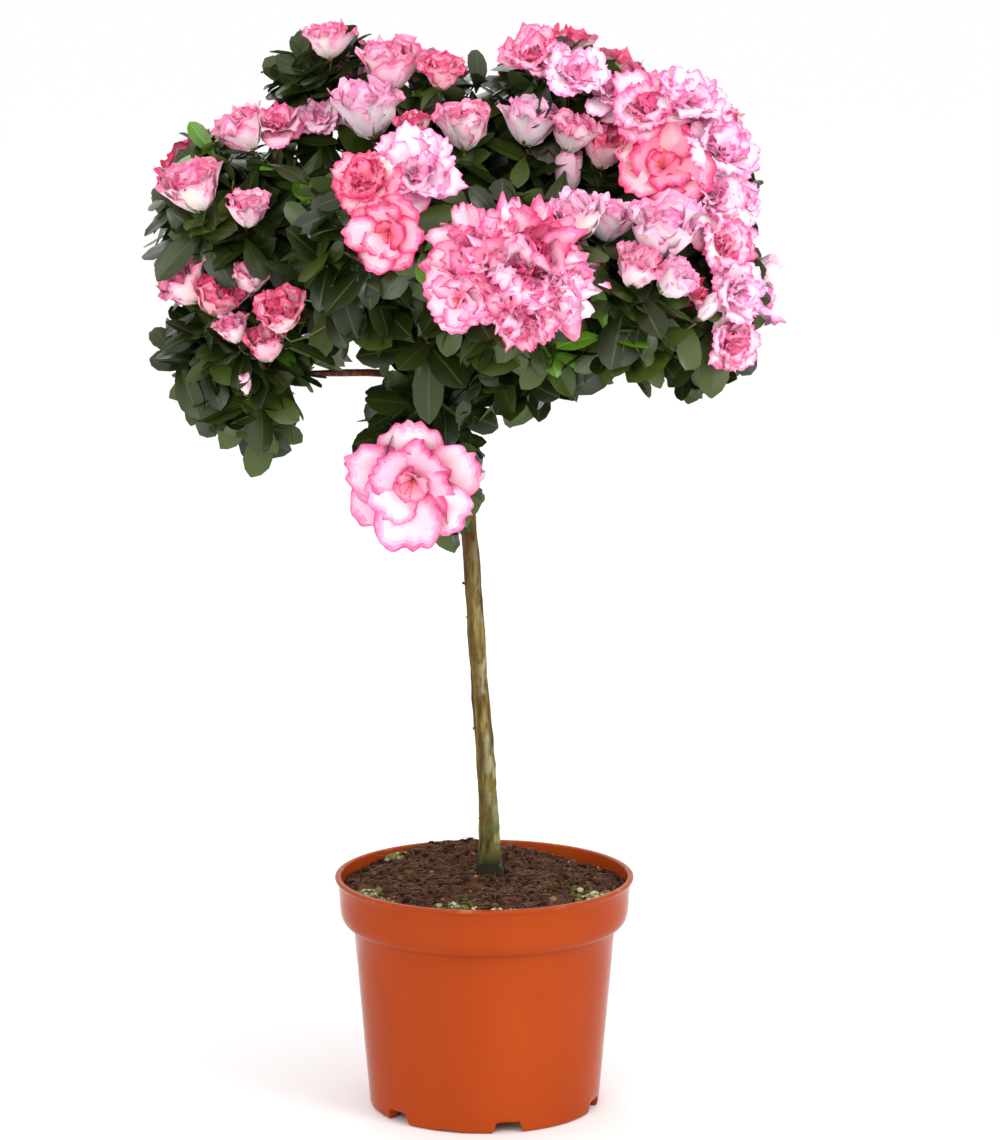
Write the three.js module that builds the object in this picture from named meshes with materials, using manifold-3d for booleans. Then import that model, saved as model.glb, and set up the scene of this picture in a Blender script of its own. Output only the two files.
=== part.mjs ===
// A potted azalea grown as a little tree. A plastic growing pot holds a plug of peat, a bare leaning
// trunk stands in it, boughs fan out of the trunk's fork, and masses of leaf and flower make the crown.
// Millimetres, +Z up. The origin is the middle of the pot's flat underside, and the plant's face is -Y.

import * as THREE from "three";
import { mergeVertices } from "three/addons/utils/BufferGeometryUtils.js";
import Module from "manifold-3d";

const wasm = await Module();
wasm.setup();

// ---------------------------------------------------------------- driving dimensions

const GAP = 0.35; // clearance kept between pieces that touch

// Pot: a 17 cm growing pot with a deep collar, standing on a notched ring and a flat middle plate.
const POT_HEIGHT = 134.3;
const POT_WALL = 1.8;
const RIM_RADIUS = 85.5;
const COLLAR_TOP_RADIUS = 83.8;
const COLLAR_BOTTOM_RADIUS = 82.4;
const COLLAR_BOTTOM_Z = 110.5;
const BODY_TOP_RADIUS = 74.8;
const BODY_TOP_Z = 104;
const BASE_RADIUS = 66;
const BASE_ROUNDING = 1.8;
const LIP_HEIGHT = 3;
const PLATE_RADIUS = 46; // the flat middle of the underside
const CHANNEL_HEIGHT = 7; // the drainage channel round the middle plate
const CHANNEL_INNER_RADIUS = 48;
const CHANNEL_OUTER_RADIUS = 58;
const FOOT_RING_RADIUS = 60.5;
const POT_SEGMENTS = 28;
const DEEP_NOTCHES = 6;
const DEEP_NOTCH = { width: 16, height: CHANNEL_HEIGHT, firstAngle: 12 };
const SHALLOW_NOTCHES = 3;
const SHALLOW_NOTCH = { width: 12, height: 1.6, firstAngle: -18 };
const DRAIN_RADIUS = 4;

// Soil: moist peat, domed in the middle, lower at the wall, heaped up behind the trunk on the left.
const SOIL_EDGE_Z = 126.5;
const SOIL_DOME = 6.2;
const SOIL_HEAP = { x: -16, y: 60, height: 9.5, spread: 42 };
const SOIL_ROUGHNESS = 0.7;

// Trunk: the foot stands a little behind the pot's axis, and the fork leans to the left.
const TRUNK_FOOT = new THREE.Vector3(3, 10, SOIL_EDGE_Z + SOIL_DOME + GAP);
const TRUNK_FORK = new THREE.Vector3(-14.5, 4, 407);
const TRUNK_RADIUS_FOOT = 5.6;
const TRUNK_RADIUS_FORK = 4.2;
const FLARE_EXTRA = 2.6; // added radius where the roots begin
const FLARE_HEIGHT = 9;

// Boughs: each leaves the fork, bends once, and heads for the mass that it carries.
const BOUGHS = [
  { name: "bough_left_low", to: "foliage_left_low", bend: [-50, -9, 424], radius: 2.4 },
  { name: "bough_left_shoulder", to: "foliage_left_shoulder", bend: [-48, -4, 443], radius: 2.6 },
  { name: "bough_top_left", to: "foliage_top_left", bend: [-34, 8, 452], radius: 2.5 },
  { name: "bough_leader", to: "foliage_core", bend: [-17, 4, 440], radius: 3.1 },
  { name: "bough_front_left", to: "foliage_front_left", bend: [-30, -26, 447], radius: 2.3 },
  { name: "bough_front_centre", to: "foliage_front_centre", bend: [-4, -32, 440], radius: 2.5 },
  { name: "bough_front_right", to: "foliage_front_right", bend: [22, -28, 436], radius: 2.4 },
  { name: "bough_right_low", to: "foliage_right_low", bend: [36, -4, 432], radius: 2.5 },
  { name: "bough_right_shoulder", to: "foliage_right_shoulder", bend: [22, 8, 447], radius: 2.6 },
  { name: "bough_back_left", to: "foliage_back_left", bend: [-44, 40, 436], radius: 2.5 },
  { name: "bough_back_centre", to: "foliage_back_centre", bend: [-12, 44, 438], radius: 2.5 },
  { name: "bough_back_right", to: "foliage_back_right", bend: [26, 38, 438], radius: 2.4 },
  { name: "bough_front_low", to: "foliage_front_low", bend: [-2, -14, 418], radius: 2.0 },
  { name: "bough_hanging", to: "foliage_hanging", bend: [-24, -7, 420], radius: 2.0 },
];
const BOUGH_SPREAD = 3.4; // how far out of the trunk's middle a bough starts
const BOUGH_TAPER = 0.62; // radius at the far end, as a share of the radius at the fork

// Masses of leaf and flower: middle, half sizes, how far the surface swells and dips, and how much a
// hanging mass narrows towards its foot.
const MASSES = [
  { name: "foliage_left_low", at: [-135, -28, 424], size: [51, 50, 57], uneven: 0.06, taper: 0.5 },
  { name: "foliage_left_shoulder", at: [-133, -8, 510], size: [62, 68, 58], uneven: 0.08 },
  { name: "foliage_top_left", at: [-86, 4, 579], size: [37, 40, 42], uneven: 0.08 },
  { name: "foliage_top_centre", at: [-32, -14, 556], size: [50, 58, 46], uneven: 0.06 },
  { name: "foliage_top_right", at: [40, -4, 569], size: [46, 58, 46], uneven: 0.08 },
  { name: "foliage_right_shoulder", at: [101, -4, 533], size: [51, 66, 50], uneven: 0.07 },
  { name: "foliage_right_low", at: [111, -22, 463], size: [49, 60, 54], uneven: 0.07, taper: 0.3 },
  { name: "foliage_front_centre", at: [12, -98, 487], size: [56, 56, 52], uneven: 0.06 },
  { name: "foliage_front_left", at: [-62, -88, 500], size: [52, 54, 54], uneven: 0.08 },
  { name: "foliage_front_right", at: [72, -84, 468], size: [46, 50, 45], uneven: 0.08 },
  { name: "foliage_front_low", at: [22, -58, 437], size: [38, 38, 31], uneven: 0.07, detail: 2 },
  { name: "foliage_hanging", at: [-34, -44, 382], size: [38, 33, 61], uneven: 0.06, taper: 0.05 },
  { name: "foliage_back_left", at: [-96, 76, 487], size: [64, 64, 66], uneven: 0.08, taper: 0.15 },
  { name: "foliage_back_centre", at: [-16, 108, 480], size: [62, 58, 66], uneven: 0.08, taper: 0.15 },
  { name: "foliage_back_right", at: [72, 84, 486], size: [64, 62, 68], uneven: 0.08, taper: 0.15 },
  { name: "foliage_core", at: [-14, 26, 508], size: [76, 70, 62], uneven: 0.05, detail: 2 },
];
const MASS_DETAIL = 3; // subdivision of the ball that a mass starts from, unless it has its own
const CUT_BLOCK = 400; // side of the blocks that cut neighbours apart

// ---------------------------------------------------------------- materials

const finish = (color, roughness) => new THREE.MeshStandardMaterial({ color, roughness, metalness: 0 });
const terracottaPlastic = finish("#c4532a", 0.42);
const moistPeat = finish("#3a241b", 0.95);
const mossyBark = finish("#5b4a30", 0.85);
const reddishBark = finish("#6b4131", 0.8);
const leafAndPetal = finish("#40543a", 0.7);

// ---------------------------------------------------------------- helpers

const radians = THREE.MathUtils.degToRad;

// A closed geometry as a solid that can be joined and cut.
function solidOf(geometry) {
  const bare = geometry.clone();
  bare.deleteAttribute("normal");
  bare.deleteAttribute("uv");
  const merged = mergeVertices(bare, 1e-4);
  const vertProperties = merged.attributes.position.array;
  const triVerts = new Uint32Array(merged.index.array);
  return new wasm.Manifold(new wasm.Mesh({ numProp: 3, vertProperties, triVerts }));
}

function geometryOf(solid) {
  const cut = solid.getMesh();
  const geometry = new THREE.BufferGeometry();
  geometry.setAttribute("position", new THREE.BufferAttribute(new Float32Array(cut.vertProperties), 3));
  geometry.setIndex(new THREE.BufferAttribute(new Uint32Array(cut.triVerts), 1));
  const flat = geometry.toNonIndexed();
  flat.computeVertexNormals();
  return flat;
}

// The body of a cut solid that lies nearest to a point.
function bodyNearest(solid, point) {
  const distance = (body) => {
    const box = body.boundingBox();
    const middle = new THREE.Vector3().fromArray(box.min).add(new THREE.Vector3().fromArray(box.max));
    return middle.multiplyScalar(0.5).distanceTo(point);
  };
  return solid.decompose().sort((a, b) => distance(a) - distance(b))[0];
}

function named(name, solid, material) {
  const mesh = new THREE.Mesh(geometryOf(solid), material);
  mesh.name = name;
  return mesh;
}

// Rings of points, all with the same count, skinned into one closed solid with flat fans at both ends.
function skin(rings) {
  const sides = rings[0].length;
  const corners = rings.flat();
  const faces = [];
  for (let ring = 0; ring < rings.length - 1; ring++) {
    for (let side = 0; side < sides; side++) {
      const next = (side + 1) % sides;
      const a = ring * sides + side;
      const b = ring * sides + next;
      faces.push(a, b, b + sides, a, b + sides, a + sides);
    }
  }
  const first = corners.push(middleOf(rings[0])) - 1;
  const last = corners.push(middleOf(rings.at(-1))) - 1;
  const lastRing = (rings.length - 1) * sides;
  for (let side = 0; side < sides; side++) {
    const next = (side + 1) % sides;
    faces.push(first, next, side, last, lastRing + side, lastRing + next);
  }
  const geometry = new THREE.BufferGeometry().setFromPoints(corners);
  geometry.setIndex(faces);
  return solidOf(geometry);
}

function middleOf(points) {
  const sum = points.reduce((total, point) => total.add(point), new THREE.Vector3());
  return sum.divideScalar(points.length);
}

// A limb of round section along a smooth route. radiusAt gives its radius from start (0) to end (1).
function limb(route, radiusAt, sides, steps) {
  const line = new THREE.CatmullRomCurve3(route);
  const frames = line.computeFrenetFrames(steps, false);
  const rings = [];
  for (let step = 0; step <= steps; step++) {
    const along = step / steps;
    const middle = line.getPointAt(along);
    const ring = [];
    for (let side = 0; side < sides; side++) {
      const turn = (side / sides) * 2 * Math.PI;
      const outward = frames.normals[step].clone().multiplyScalar(Math.cos(turn));
      outward.addScaledVector(frames.binormals[step], Math.sin(turn));
      ring.push(middle.clone().addScaledVector(outward, radiusAt(along)));
    }
    rings.push(ring);
  }
  return skin(rings);
}

// A block whose one face passes through a point and whose body lies on the side that normal points to.
function blockBeyond(point, normal) {
  const block = new THREE.BoxGeometry(CUT_BLOCK, CUT_BLOCK, CUT_BLOCK);
  const turn = new THREE.Quaternion().setFromUnitVectors(new THREE.Vector3(0, 0, 1), normal);
  const middle = point.clone().addScaledVector(normal, CUT_BLOCK / 2);
  block.applyMatrix4(new THREE.Matrix4().compose(middle, turn, new THREE.Vector3(1, 1, 1)));
  return solidOf(block);
}

// ---------------------------------------------------------------- pot

// The closed section of the pot, as radius and height, from the middle of the underside round to the
// middle of the inside floor.
function potSection() {
  const floorTop = CHANNEL_HEIGHT + POT_WALL;
  const section = [
    [0, 0],
    [PLATE_RADIUS, 0],
    [CHANNEL_INNER_RADIUS, CHANNEL_HEIGHT],
    [CHANNEL_OUTER_RADIUS, CHANNEL_HEIGHT],
    [FOOT_RING_RADIUS, 0],
    [BASE_RADIUS - BASE_ROUNDING, 0],
    [BASE_RADIUS, BASE_ROUNDING],
    [BODY_TOP_RADIUS, BODY_TOP_Z],
    [COLLAR_BOTTOM_RADIUS, COLLAR_BOTTOM_Z],
    [COLLAR_TOP_RADIUS, POT_HEIGHT - LIP_HEIGHT],
    [RIM_RADIUS, POT_HEIGHT - LIP_HEIGHT / 2],
    [RIM_RADIUS, POT_HEIGHT - 0.5],
    [RIM_RADIUS - 0.8, POT_HEIGHT],
    [COLLAR_TOP_RADIUS - POT_WALL + 0.5, POT_HEIGHT],
    [COLLAR_BOTTOM_RADIUS - POT_WALL, COLLAR_BOTTOM_Z + 1],
    [BODY_TOP_RADIUS - POT_WALL, BODY_TOP_Z + 1],
    [insideRadius(floorTop), floorTop],
    [CHANNEL_INNER_RADIUS - 1, floorTop],
    [PLATE_RADIUS - 3, POT_WALL],
    [0, POT_WALL],
  ];
  return section.map(([radius, height]) => new THREE.Vector2(radius, height));
}

// Radius of the straight inside wall of the pot's body at a height.
function insideRadius(height) {
  const rise = height / BODY_TOP_Z;
  return THREE.MathUtils.lerp(BASE_RADIUS, BODY_TOP_RADIUS, rise) - POT_WALL;
}

function lathed(section, segments) {
  const turned = new THREE.LatheGeometry(section, segments);
  turned.rotateX(Math.PI / 2);
  return turned;
}

// A tapered slot through the foot ring, set at an angle from the plant's face.
function notchCutter({ width, height }, angle) {
  const half = width / 2;
  const outline = new THREE.Shape();
  outline.moveTo(-half - 1.2, -1);
  outline.lineTo(half + 1.2, -1);
  outline.lineTo(half, height * 0.35);
  outline.lineTo(half - 1.2, height);
  outline.lineTo(-half + 1.2, height);
  outline.lineTo(-half, height * 0.35);
  const slot = new THREE.ExtrudeGeometry(outline, { depth: 15, bevelEnabled: false });
  slot.rotateX(Math.PI / 2);
  slot.translate(0, -CHANNEL_OUTER_RADIUS + 2, 0);
  slot.rotateZ(radians(angle));
  return solidOf(slot);
}

function drainHole(angle) {
  const hole = new THREE.CylinderGeometry(DRAIN_RADIUS, DRAIN_RADIUS, POT_WALL * 3, 10);
  hole.rotateX(Math.PI / 2);
  hole.translate(0, -(CHANNEL_INNER_RADIUS + CHANNEL_OUTER_RADIUS) / 2, CHANNEL_HEIGHT + POT_WALL / 2);
  hole.rotateZ(radians(angle));
  return solidOf(hole);
}

function makePot() {
  let pot = solidOf(lathed(potSection(), POT_SEGMENTS));
  for (let notch = 0; notch < DEEP_NOTCHES; notch++) {
    const angle = DEEP_NOTCH.firstAngle + (notch * 360) / DEEP_NOTCHES;
    pot = pot.subtract(notchCutter(DEEP_NOTCH, angle));
    pot = pot.subtract(drainHole(angle));
  }
  for (let notch = 0; notch < SHALLOW_NOTCHES; notch++) {
    const angle = SHALLOW_NOTCH.firstAngle + (notch * 360) / SHALLOW_NOTCHES;
    pot = pot.subtract(notchCutter(SHALLOW_NOTCH, angle));
  }
  return named("pot", pot, terracottaPlastic);
}

// ---------------------------------------------------------------- soil

// Height of the peat's surface. It is level under the trunk's foot.
function soilTop(x, y, radiusShare) {
  const fromFoot = Math.hypot(x - TRUNK_FOOT.x, y - TRUNK_FOOT.y);
  const open = THREE.MathUtils.smoothstep(fromFoot, 13, 40);
  const edgeDrop = SOIL_DOME * radiusShare ** 3;
  const fromHeap = Math.hypot(x - SOIL_HEAP.x, y - SOIL_HEAP.y) / SOIL_HEAP.spread;
  const heap = SOIL_HEAP.height * Math.exp(-(fromHeap ** 2));
  const lumps = SOIL_ROUGHNESS * (Math.sin(x * 0.31 + 1) * Math.cos(y * 0.27) + Math.sin((x - y) * 0.17));
  return SOIL_EDGE_Z + SOIL_DOME + open * (lumps + heap - edgeDrop);
}

function makeSoil() {
  const sides = 22;
  const floorTop = CHANNEL_HEIGHT + POT_WALL + GAP;
  const collarInside = COLLAR_BOTTOM_RADIUS - POT_WALL - GAP;
  const ringOf = (radius, heightAt) => {
    const ring = [];
    for (let side = 0; side < sides; side++) {
      const turn = (side / sides) * 2 * Math.PI;
      const x = radius * Math.cos(turn);
      const y = radius * Math.sin(turn);
      ring.push(new THREE.Vector3(x, y, heightAt(x, y)));
    }
    return ring;
  };
  const level = (height) => () => height;
  const rings = [
    ringOf(PLATE_RADIUS - 4, level(POT_WALL + GAP)),
    ringOf(CHANNEL_INNER_RADIUS - 2, level(floorTop)),
    ringOf(insideRadius(floorTop) - GAP - 0.5, level(floorTop)),
    ringOf(insideRadius(BODY_TOP_Z) - GAP - 0.5, level(BODY_TOP_Z + 1.5)),
    ringOf(collarInside - 0.5, level(COLLAR_BOTTOM_Z + 2)),
  ];
  for (const share of [1, 0.86, 0.7, 0.52, 0.34, 0.17]) {
    rings.push(ringOf(collarInside * share, (x, y) => soilTop(x, y, share)));
  }
  return named("potting_soil", skin(rings), moistPeat);
}

// ---------------------------------------------------------------- trunk and boughs

function trunkSolid(extra) {
  const below = TRUNK_FOOT.clone().add(new THREE.Vector3(0, 0, -8));
  const route = [
    below,
    TRUNK_FOOT.clone(),
    new THREE.Vector3(3.2, 9.5, 165),
    new THREE.Vector3(1.1, 9, 196),
    new THREE.Vector3(-2, 8, 236),
    new THREE.Vector3(-7.3, 6, 319),
    TRUNK_FORK.clone(),
  ];
  const length = TRUNK_FORK.z - below.z;
  const radiusAt = (along) => {
    const aboveFoot = Math.max(0, along * length - 8);
    const flare = FLARE_EXTRA * Math.exp(-aboveFoot / FLARE_HEIGHT);
    const knuckle = 0.9 * THREE.MathUtils.smoothstep(along, 0.94, 0.98);
    return THREE.MathUtils.lerp(TRUNK_RADIUS_FOOT, TRUNK_RADIUS_FORK, along) + flare + knuckle + extra;
  };
  const whole = limb(route, radiusAt, 9, 13);
  const flatCut = new THREE.Vector3(0, 0, TRUNK_FOOT.z - extra);
  return whole.subtract(blockBeyond(flatCut, new THREE.Vector3(0, 0, -1)));
}

function boughSolid({ to, bend, radius }, extra) {
  const target = MASSES.find((mass) => mass.name === to);
  const middle = new THREE.Vector3().fromArray(target.at);
  const elbow = new THREE.Vector3().fromArray(bend);
  const outward = elbow.clone().sub(TRUNK_FORK).normalize();
  const start = TRUNK_FORK.clone().addScaledVector(outward, BOUGH_SPREAD).add(new THREE.Vector3(0, 0, -2));
  const radiusAt = (along) => radius * THREE.MathUtils.lerp(1, BOUGH_TAPER, along) + extra;
  return limb([start, elbow, elbow.clone().lerp(middle, 0.55), middle], radiusAt, 6, 6);
}

// Each bough is cut clear of the trunk, of the boughs made before it, and of the masses it runs into.
function makeBoughs(massTools) {
  const trunkTool = trunkSolid(GAP);
  const madeTools = [];
  return BOUGHS.map((bough) => {
    let solid = boughSolid(bough, 0).subtract(trunkTool);
    for (const tool of [...madeTools, ...massTools]) {
      solid = solid.subtract(tool);
    }
    madeTools.push(boughSolid(bough, GAP));
    return named(bough.name, bodyNearest(solid, new THREE.Vector3().fromArray(bough.bend)), reddishBark);
  });
}

// ---------------------------------------------------------------- masses of leaf and flower

// How far a mass swells in a direction: three slow waves, turned differently for each mass.
function swelling(direction, order, uneven) {
  const wave = (x, y, z, shift) => {
    return Math.sin(x * direction.x + y * direction.y + z * direction.z + shift + order * 1.7);
  };
  return 1 + (uneven * (wave(4, 1, 2, 0) + wave(-2, 5, 1, 2) + wave(1, -3, 6, 4))) / 2;
}

function massSolid({ at, size, uneven, taper = 0, detail = MASS_DETAIL }, order, extra) {
  const ball = new THREE.IcosahedronGeometry(1, detail);
  const middle = new THREE.Vector3().fromArray(at);
  const half = new THREE.Vector3().fromArray(size);
  const points = ball.attributes.position;
  for (let corner = 0; corner < points.count; corner++) {
    const direction = new THREE.Vector3().fromBufferAttribute(points, corner).normalize();
    const swell = swelling(direction, order, uneven);
    const place = direction.clone().multiply(half).multiplyScalar(swell);
    const narrowed = 1 + taper * Math.min(direction.z, 0.3);
    place.multiply(new THREE.Vector3(narrowed, narrowed, 1));
    place.addScaledVector(direction, extra).add(middle);
    points.setXYZ(corner, place.x, place.y, place.z);
  }
  return solidOf(ball);
}

// Distance from the middle of a mass to its plain, even surface in a direction.
function reach({ size }, direction) {
  const scaled = direction.clone().divide(new THREE.Vector3().fromArray(size));
  return 1 / scaled.length();
}

// Two neighbours part along the flat face on which their surfaces meet, with half the gap on each side.
function partingFace(mass, other) {
  const middle = new THREE.Vector3().fromArray(mass.at);
  const toOther = new THREE.Vector3().fromArray(other.at).sub(middle);
  const distance = toOther.length();
  const direction = toOther.normalize();
  const own = reach(mass, direction);
  const theirs = reach(other, direction);
  const share = (distance + (own ** 2 - theirs ** 2) / distance) / 2;
  return { point: middle.addScaledVector(direction, share - GAP / 2), direction };
}

function makeMasses() {
  const trunkTool = trunkSolid(GAP);
  return MASSES.map((mass, order) => {
    let solid = massSolid(mass, order, 0).subtract(trunkTool);
    for (const other of MASSES) {
      if (other === mass) continue;
      const { point, direction } = partingFace(mass, other);
      solid = solid.subtract(blockBeyond(point, direction));
    }
    return named(mass.name, bodyNearest(solid, new THREE.Vector3().fromArray(mass.at)), leafAndPetal);
  });
}

// ---------------------------------------------------------------- the whole plant

const azalea = new THREE.Group();
const massTools = MASSES.map((mass, order) => massSolid(mass, order, GAP));
azalea.add(makePot(), makeSoil());
azalea.add(named("trunk", trunkSolid(0), mossyBark));
azalea.add(...makeBoughs(massTools));
azalea.add(...makeMasses());

export default azalea;
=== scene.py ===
# %% [markdown]
# # A potted azalea in flower
# The plant is an azalea trained as a little tree: one bare trunk in a plastic growing pot, and on top
# a loose crown of glossy leaves and ruffled pink and white flowers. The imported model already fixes
# where every part stands. This notebook grows the fine surfaces around that fixed frame, in metres.

# %% Load the fixed frame
import math

import bpy
import numpy as np
from mathutils import Matrix, Vector, noise
from mathutils.bvhtree import BVHTree


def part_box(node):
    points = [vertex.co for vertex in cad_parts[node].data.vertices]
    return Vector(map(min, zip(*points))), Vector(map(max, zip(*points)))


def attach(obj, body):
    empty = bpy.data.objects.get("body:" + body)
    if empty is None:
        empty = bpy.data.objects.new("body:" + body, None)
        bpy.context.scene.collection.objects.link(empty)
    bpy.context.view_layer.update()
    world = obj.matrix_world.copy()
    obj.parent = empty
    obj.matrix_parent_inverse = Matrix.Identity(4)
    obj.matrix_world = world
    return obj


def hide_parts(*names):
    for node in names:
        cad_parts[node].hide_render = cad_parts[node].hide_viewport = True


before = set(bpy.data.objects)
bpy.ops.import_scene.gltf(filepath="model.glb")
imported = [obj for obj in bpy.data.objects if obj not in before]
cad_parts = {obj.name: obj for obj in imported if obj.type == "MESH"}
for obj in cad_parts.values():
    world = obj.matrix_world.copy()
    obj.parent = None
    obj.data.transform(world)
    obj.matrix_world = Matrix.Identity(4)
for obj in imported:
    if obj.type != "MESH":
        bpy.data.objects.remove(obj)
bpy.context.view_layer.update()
MM = 0.001
UP = np.array([0.0, 0.0, 1.0])

# %% [markdown]
# ## Camera, floor and light
# The plant is seen from a little over two metres away through a long lens, from slightly above, so
# that the pot's rim opens into a flat ellipse. A long lens far away keeps pot and crown in their true
# proportions, where a short lens close by would swell the crown. A pale floor and large soft lamps
# are what a studio would use for a plant: hard light would lose the petals' ruffles.

# %% Camera
scene = bpy.context.scene
CAMERA_PLACE = Vector((0.009, -2.300, 0.707))
CAMERA_DIP = math.radians(9.77)  # how far the view looks down
camera_data = bpy.data.cameras.new("camera")
camera_data.lens = 130.3
camera = bpy.data.objects.new("camera", camera_data)
camera.location = CAMERA_PLACE
camera.rotation_euler = (math.radians(90) - CAMERA_DIP, 0, 0)
scene.collection.objects.link(camera)
scene.camera = camera
scene.view_settings.view_transform = "Standard"
print("camera", round(CAMERA_PLACE.length, 2), "m from the pot")


# %% Floor and light
def paint(code):
    """A screen colour such as 'c4532a' as the linear colour that a shader wants."""
    channels = [int(code[i:i + 2], 16) / 255 for i in (0, 2, 4)]
    return tuple(c / 12.92 if c <= 0.04045 else ((c + 0.055) / 1.055) ** 2.4 for c in channels) + (1.0,)


def plain(name, code, roughness, **sockets):
    """A plain finish. Extra sockets are named with _ for a space, such as Specular_IOR_Level."""
    material = bpy.data.materials.new(name)
    material.use_nodes = True
    shader = material.node_tree.nodes["Principled BSDF"]
    shader.inputs["Base Color"].default_value = paint(code)
    shader.inputs["Roughness"].default_value = roughness
    for socket, value in sockets.items():
        shader.inputs[socket.replace("_", " ")].default_value = value
    return material


FLOOR_RADIUS = 40.0
bpy.ops.mesh.primitive_circle_add(vertices=64, radius=FLOOR_RADIUS, fill_type="NGON")
floor = bpy.context.object
floor.name = "floor"
floor.data.materials.append(plain("pale_floor", "fafafa", 0.9))


def softbox(name, place, aim, size, watts):
    lamp = bpy.data.lights.new(name, "AREA")
    lamp.shape = "DISK"
    lamp.size = size
    lamp.energy = watts
    rig = bpy.data.objects.new(name, lamp)
    rig.location = place
    rig.rotation_euler = (Vector(aim) - Vector(place)).to_track_quat("-Z", "Y").to_euler()
    scene.collection.objects.link(rig)


CROWN_AIM = (0, 0, 0.42)
softbox("key_light", (1.7, -1.5, 1.8), CROWN_AIM, 1.1, 28)
softbox("fill_light", (-0.8, -2.3, 1.1), CROWN_AIM, 1.6, 18)
softbox("back_light", (-0.6, 2.0, 1.9), CROWN_AIM, 1.4, 8)
world = bpy.data.worlds.new("studio")
world.use_nodes = True
world.node_tree.nodes["Background"].inputs["Color"].default_value = (1, 1, 1, 1)
world.node_tree.nodes["Background"].inputs["Strength"].default_value = 1.04
scene.world = world

# %% [markdown]
# ## Tools for many small things
# A plant has thousands of leaves and petals. Copying an object for each one would be slow, so every
# kind is worked out as arrays of points and joined into one mesh. Each face carries the number of
# its finish, so one piece can hold pale petals, deep margins and cream throats side by side.


# %% Pieces from arrays
def joined_piece(name, points, face_groups, finishes, replaces=()):
    """One piece from arrays. face_groups holds pairs: corner numbers (faces, sides), finish numbers."""
    loops = np.concatenate([corners.ravel() for corners, _ in face_groups])
    sides = np.concatenate([np.full(len(corners), corners.shape[1]) for corners, _ in face_groups])
    starts = np.concatenate([[0], np.cumsum(sides)[:-1]])
    mesh = bpy.data.meshes.new(name)
    mesh.vertices.add(len(points))
    mesh.vertices.foreach_set("co", np.asarray(points, np.float32).ravel())
    mesh.loops.add(len(loops))
    mesh.loops.foreach_set("vertex_index", loops.astype(np.int32))
    mesh.polygons.add(len(sides))
    mesh.polygons.foreach_set("loop_start", starts.astype(np.int32))
    numbers = np.concatenate([np.broadcast_to(finish, len(corners)) for corners, finish in face_groups])
    for finish in finishes:
        mesh.materials.append(finish)
    mesh.update(calc_edges=True)
    mesh.polygons.foreach_set("material_index", numbers.astype(np.int32))
    mesh.polygons.foreach_set("use_smooth", np.ones(len(sides), bool))
    mesh.validate()
    piece = bpy.data.objects.new(name, mesh)
    scene.collection.objects.link(piece)
    return dress(piece, replaces)


def dress(piece, replaces=()):
    """Hangs a piece on the root body, hides the frame parts it stands for, and prints its triangles."""
    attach(piece, "root")
    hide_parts(*replaces)
    print(piece.name, "-", sum(len(p.vertices) - 2 for p in piece.data.polygons), "triangles")
    return piece


def grid_faces(copies, rows, columns, wrap=False):
    """Corner numbers of the quads of many equal grids, copy after copy. wrap joins last column to first."""
    across = columns if wrap else columns - 1
    row, column = np.meshgrid(np.arange(rows - 1), np.arange(across), indexing="ij")
    right = (column + 1) % columns
    quad = np.stack([row * columns + column, row * columns + right,
                     (row + 1) * columns + right, (row + 1) * columns + column], -1).reshape(-1, 4)
    offsets = np.arange(copies) * rows * columns
    return (offsets[:, None, None] + quad[None]).reshape(-1, 4)


def unit(vectors):
    return vectors / np.maximum(np.linalg.norm(vectors, axis=-1, keepdims=True), 1e-12)


def square_to(axis, hint):
    """The part of hint that is square to axis, as a unit vector."""
    return unit(hint - (hint * axis).sum(-1, keepdims=True) * axis)


def tubes(paths, radii, sides):
    """Round tubes along paths (tubes, stations, 3). Gives points (all, 3) and a list of face arrays."""
    count, stations, _ = paths.shape
    heading = unit(np.gradient(paths, axis=1))
    hint = np.where(np.abs(heading[:, :1, 2:]) > 0.8, [[[1.0, 0.2, 0]]], [[[0, 0.1, 1.0]]])
    side = square_to(heading, np.broadcast_to(hint, heading.shape))
    other = np.cross(heading, side)
    turn = np.arange(sides) / sides * 2 * math.pi
    ring = np.cos(turn)[:, None] * side[:, :, None] + np.sin(turn)[:, None] * other[:, :, None]
    points = (paths[:, :, None] + ring * radii[:, :, None, None]).reshape(-1, 3)
    walls = grid_faces(count, stations, sides, wrap=True)
    caps = np.arange(count)[:, None] * stations * sides + np.arange(sides)[None]
    ends = caps + (stations - 1) * sides
    return points, [walls, caps[:, ::-1], ends]


print("array tools ready")

# %% [markdown]
# ## The growing pot
# The pot is a thin moulded one: a tapered body, a deep collar that stiffens the mouth, a small rolled
# lip, and a foot ring with slots that let water out. It is a turned shape, so one section spun round
# the axis makes it exactly, and the slots are then cut out of the foot. Real moulded edges are never
# knife sharp, so a narrow bevel follows to catch the light.


# %% Spin the pot's section
def arc(radius_at, height_at, radius, start, end, steps):
    """Points of a rounded corner in the section, from one angle to another, in degrees."""
    angles = np.radians(np.linspace(start, end, steps))
    return [(radius_at + radius * math.cos(a), height_at + radius * math.sin(a)) for a in angles]


POT_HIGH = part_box("pot")[1]
POT_HEIGHT = POT_HIGH.z / MM
RIM_RADIUS = POT_HIGH.x / MM
WALL = 1.5
BASE_RADIUS, BODY_TOP_RADIUS, BODY_TOP = 66.0, 74.8, 104.0
COLLAR_BOTTOM = 110.5
PLATE_RADIUS, CHANNEL_TOP = 46.0, 7.0
SPIN_STEPS = 216

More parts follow.
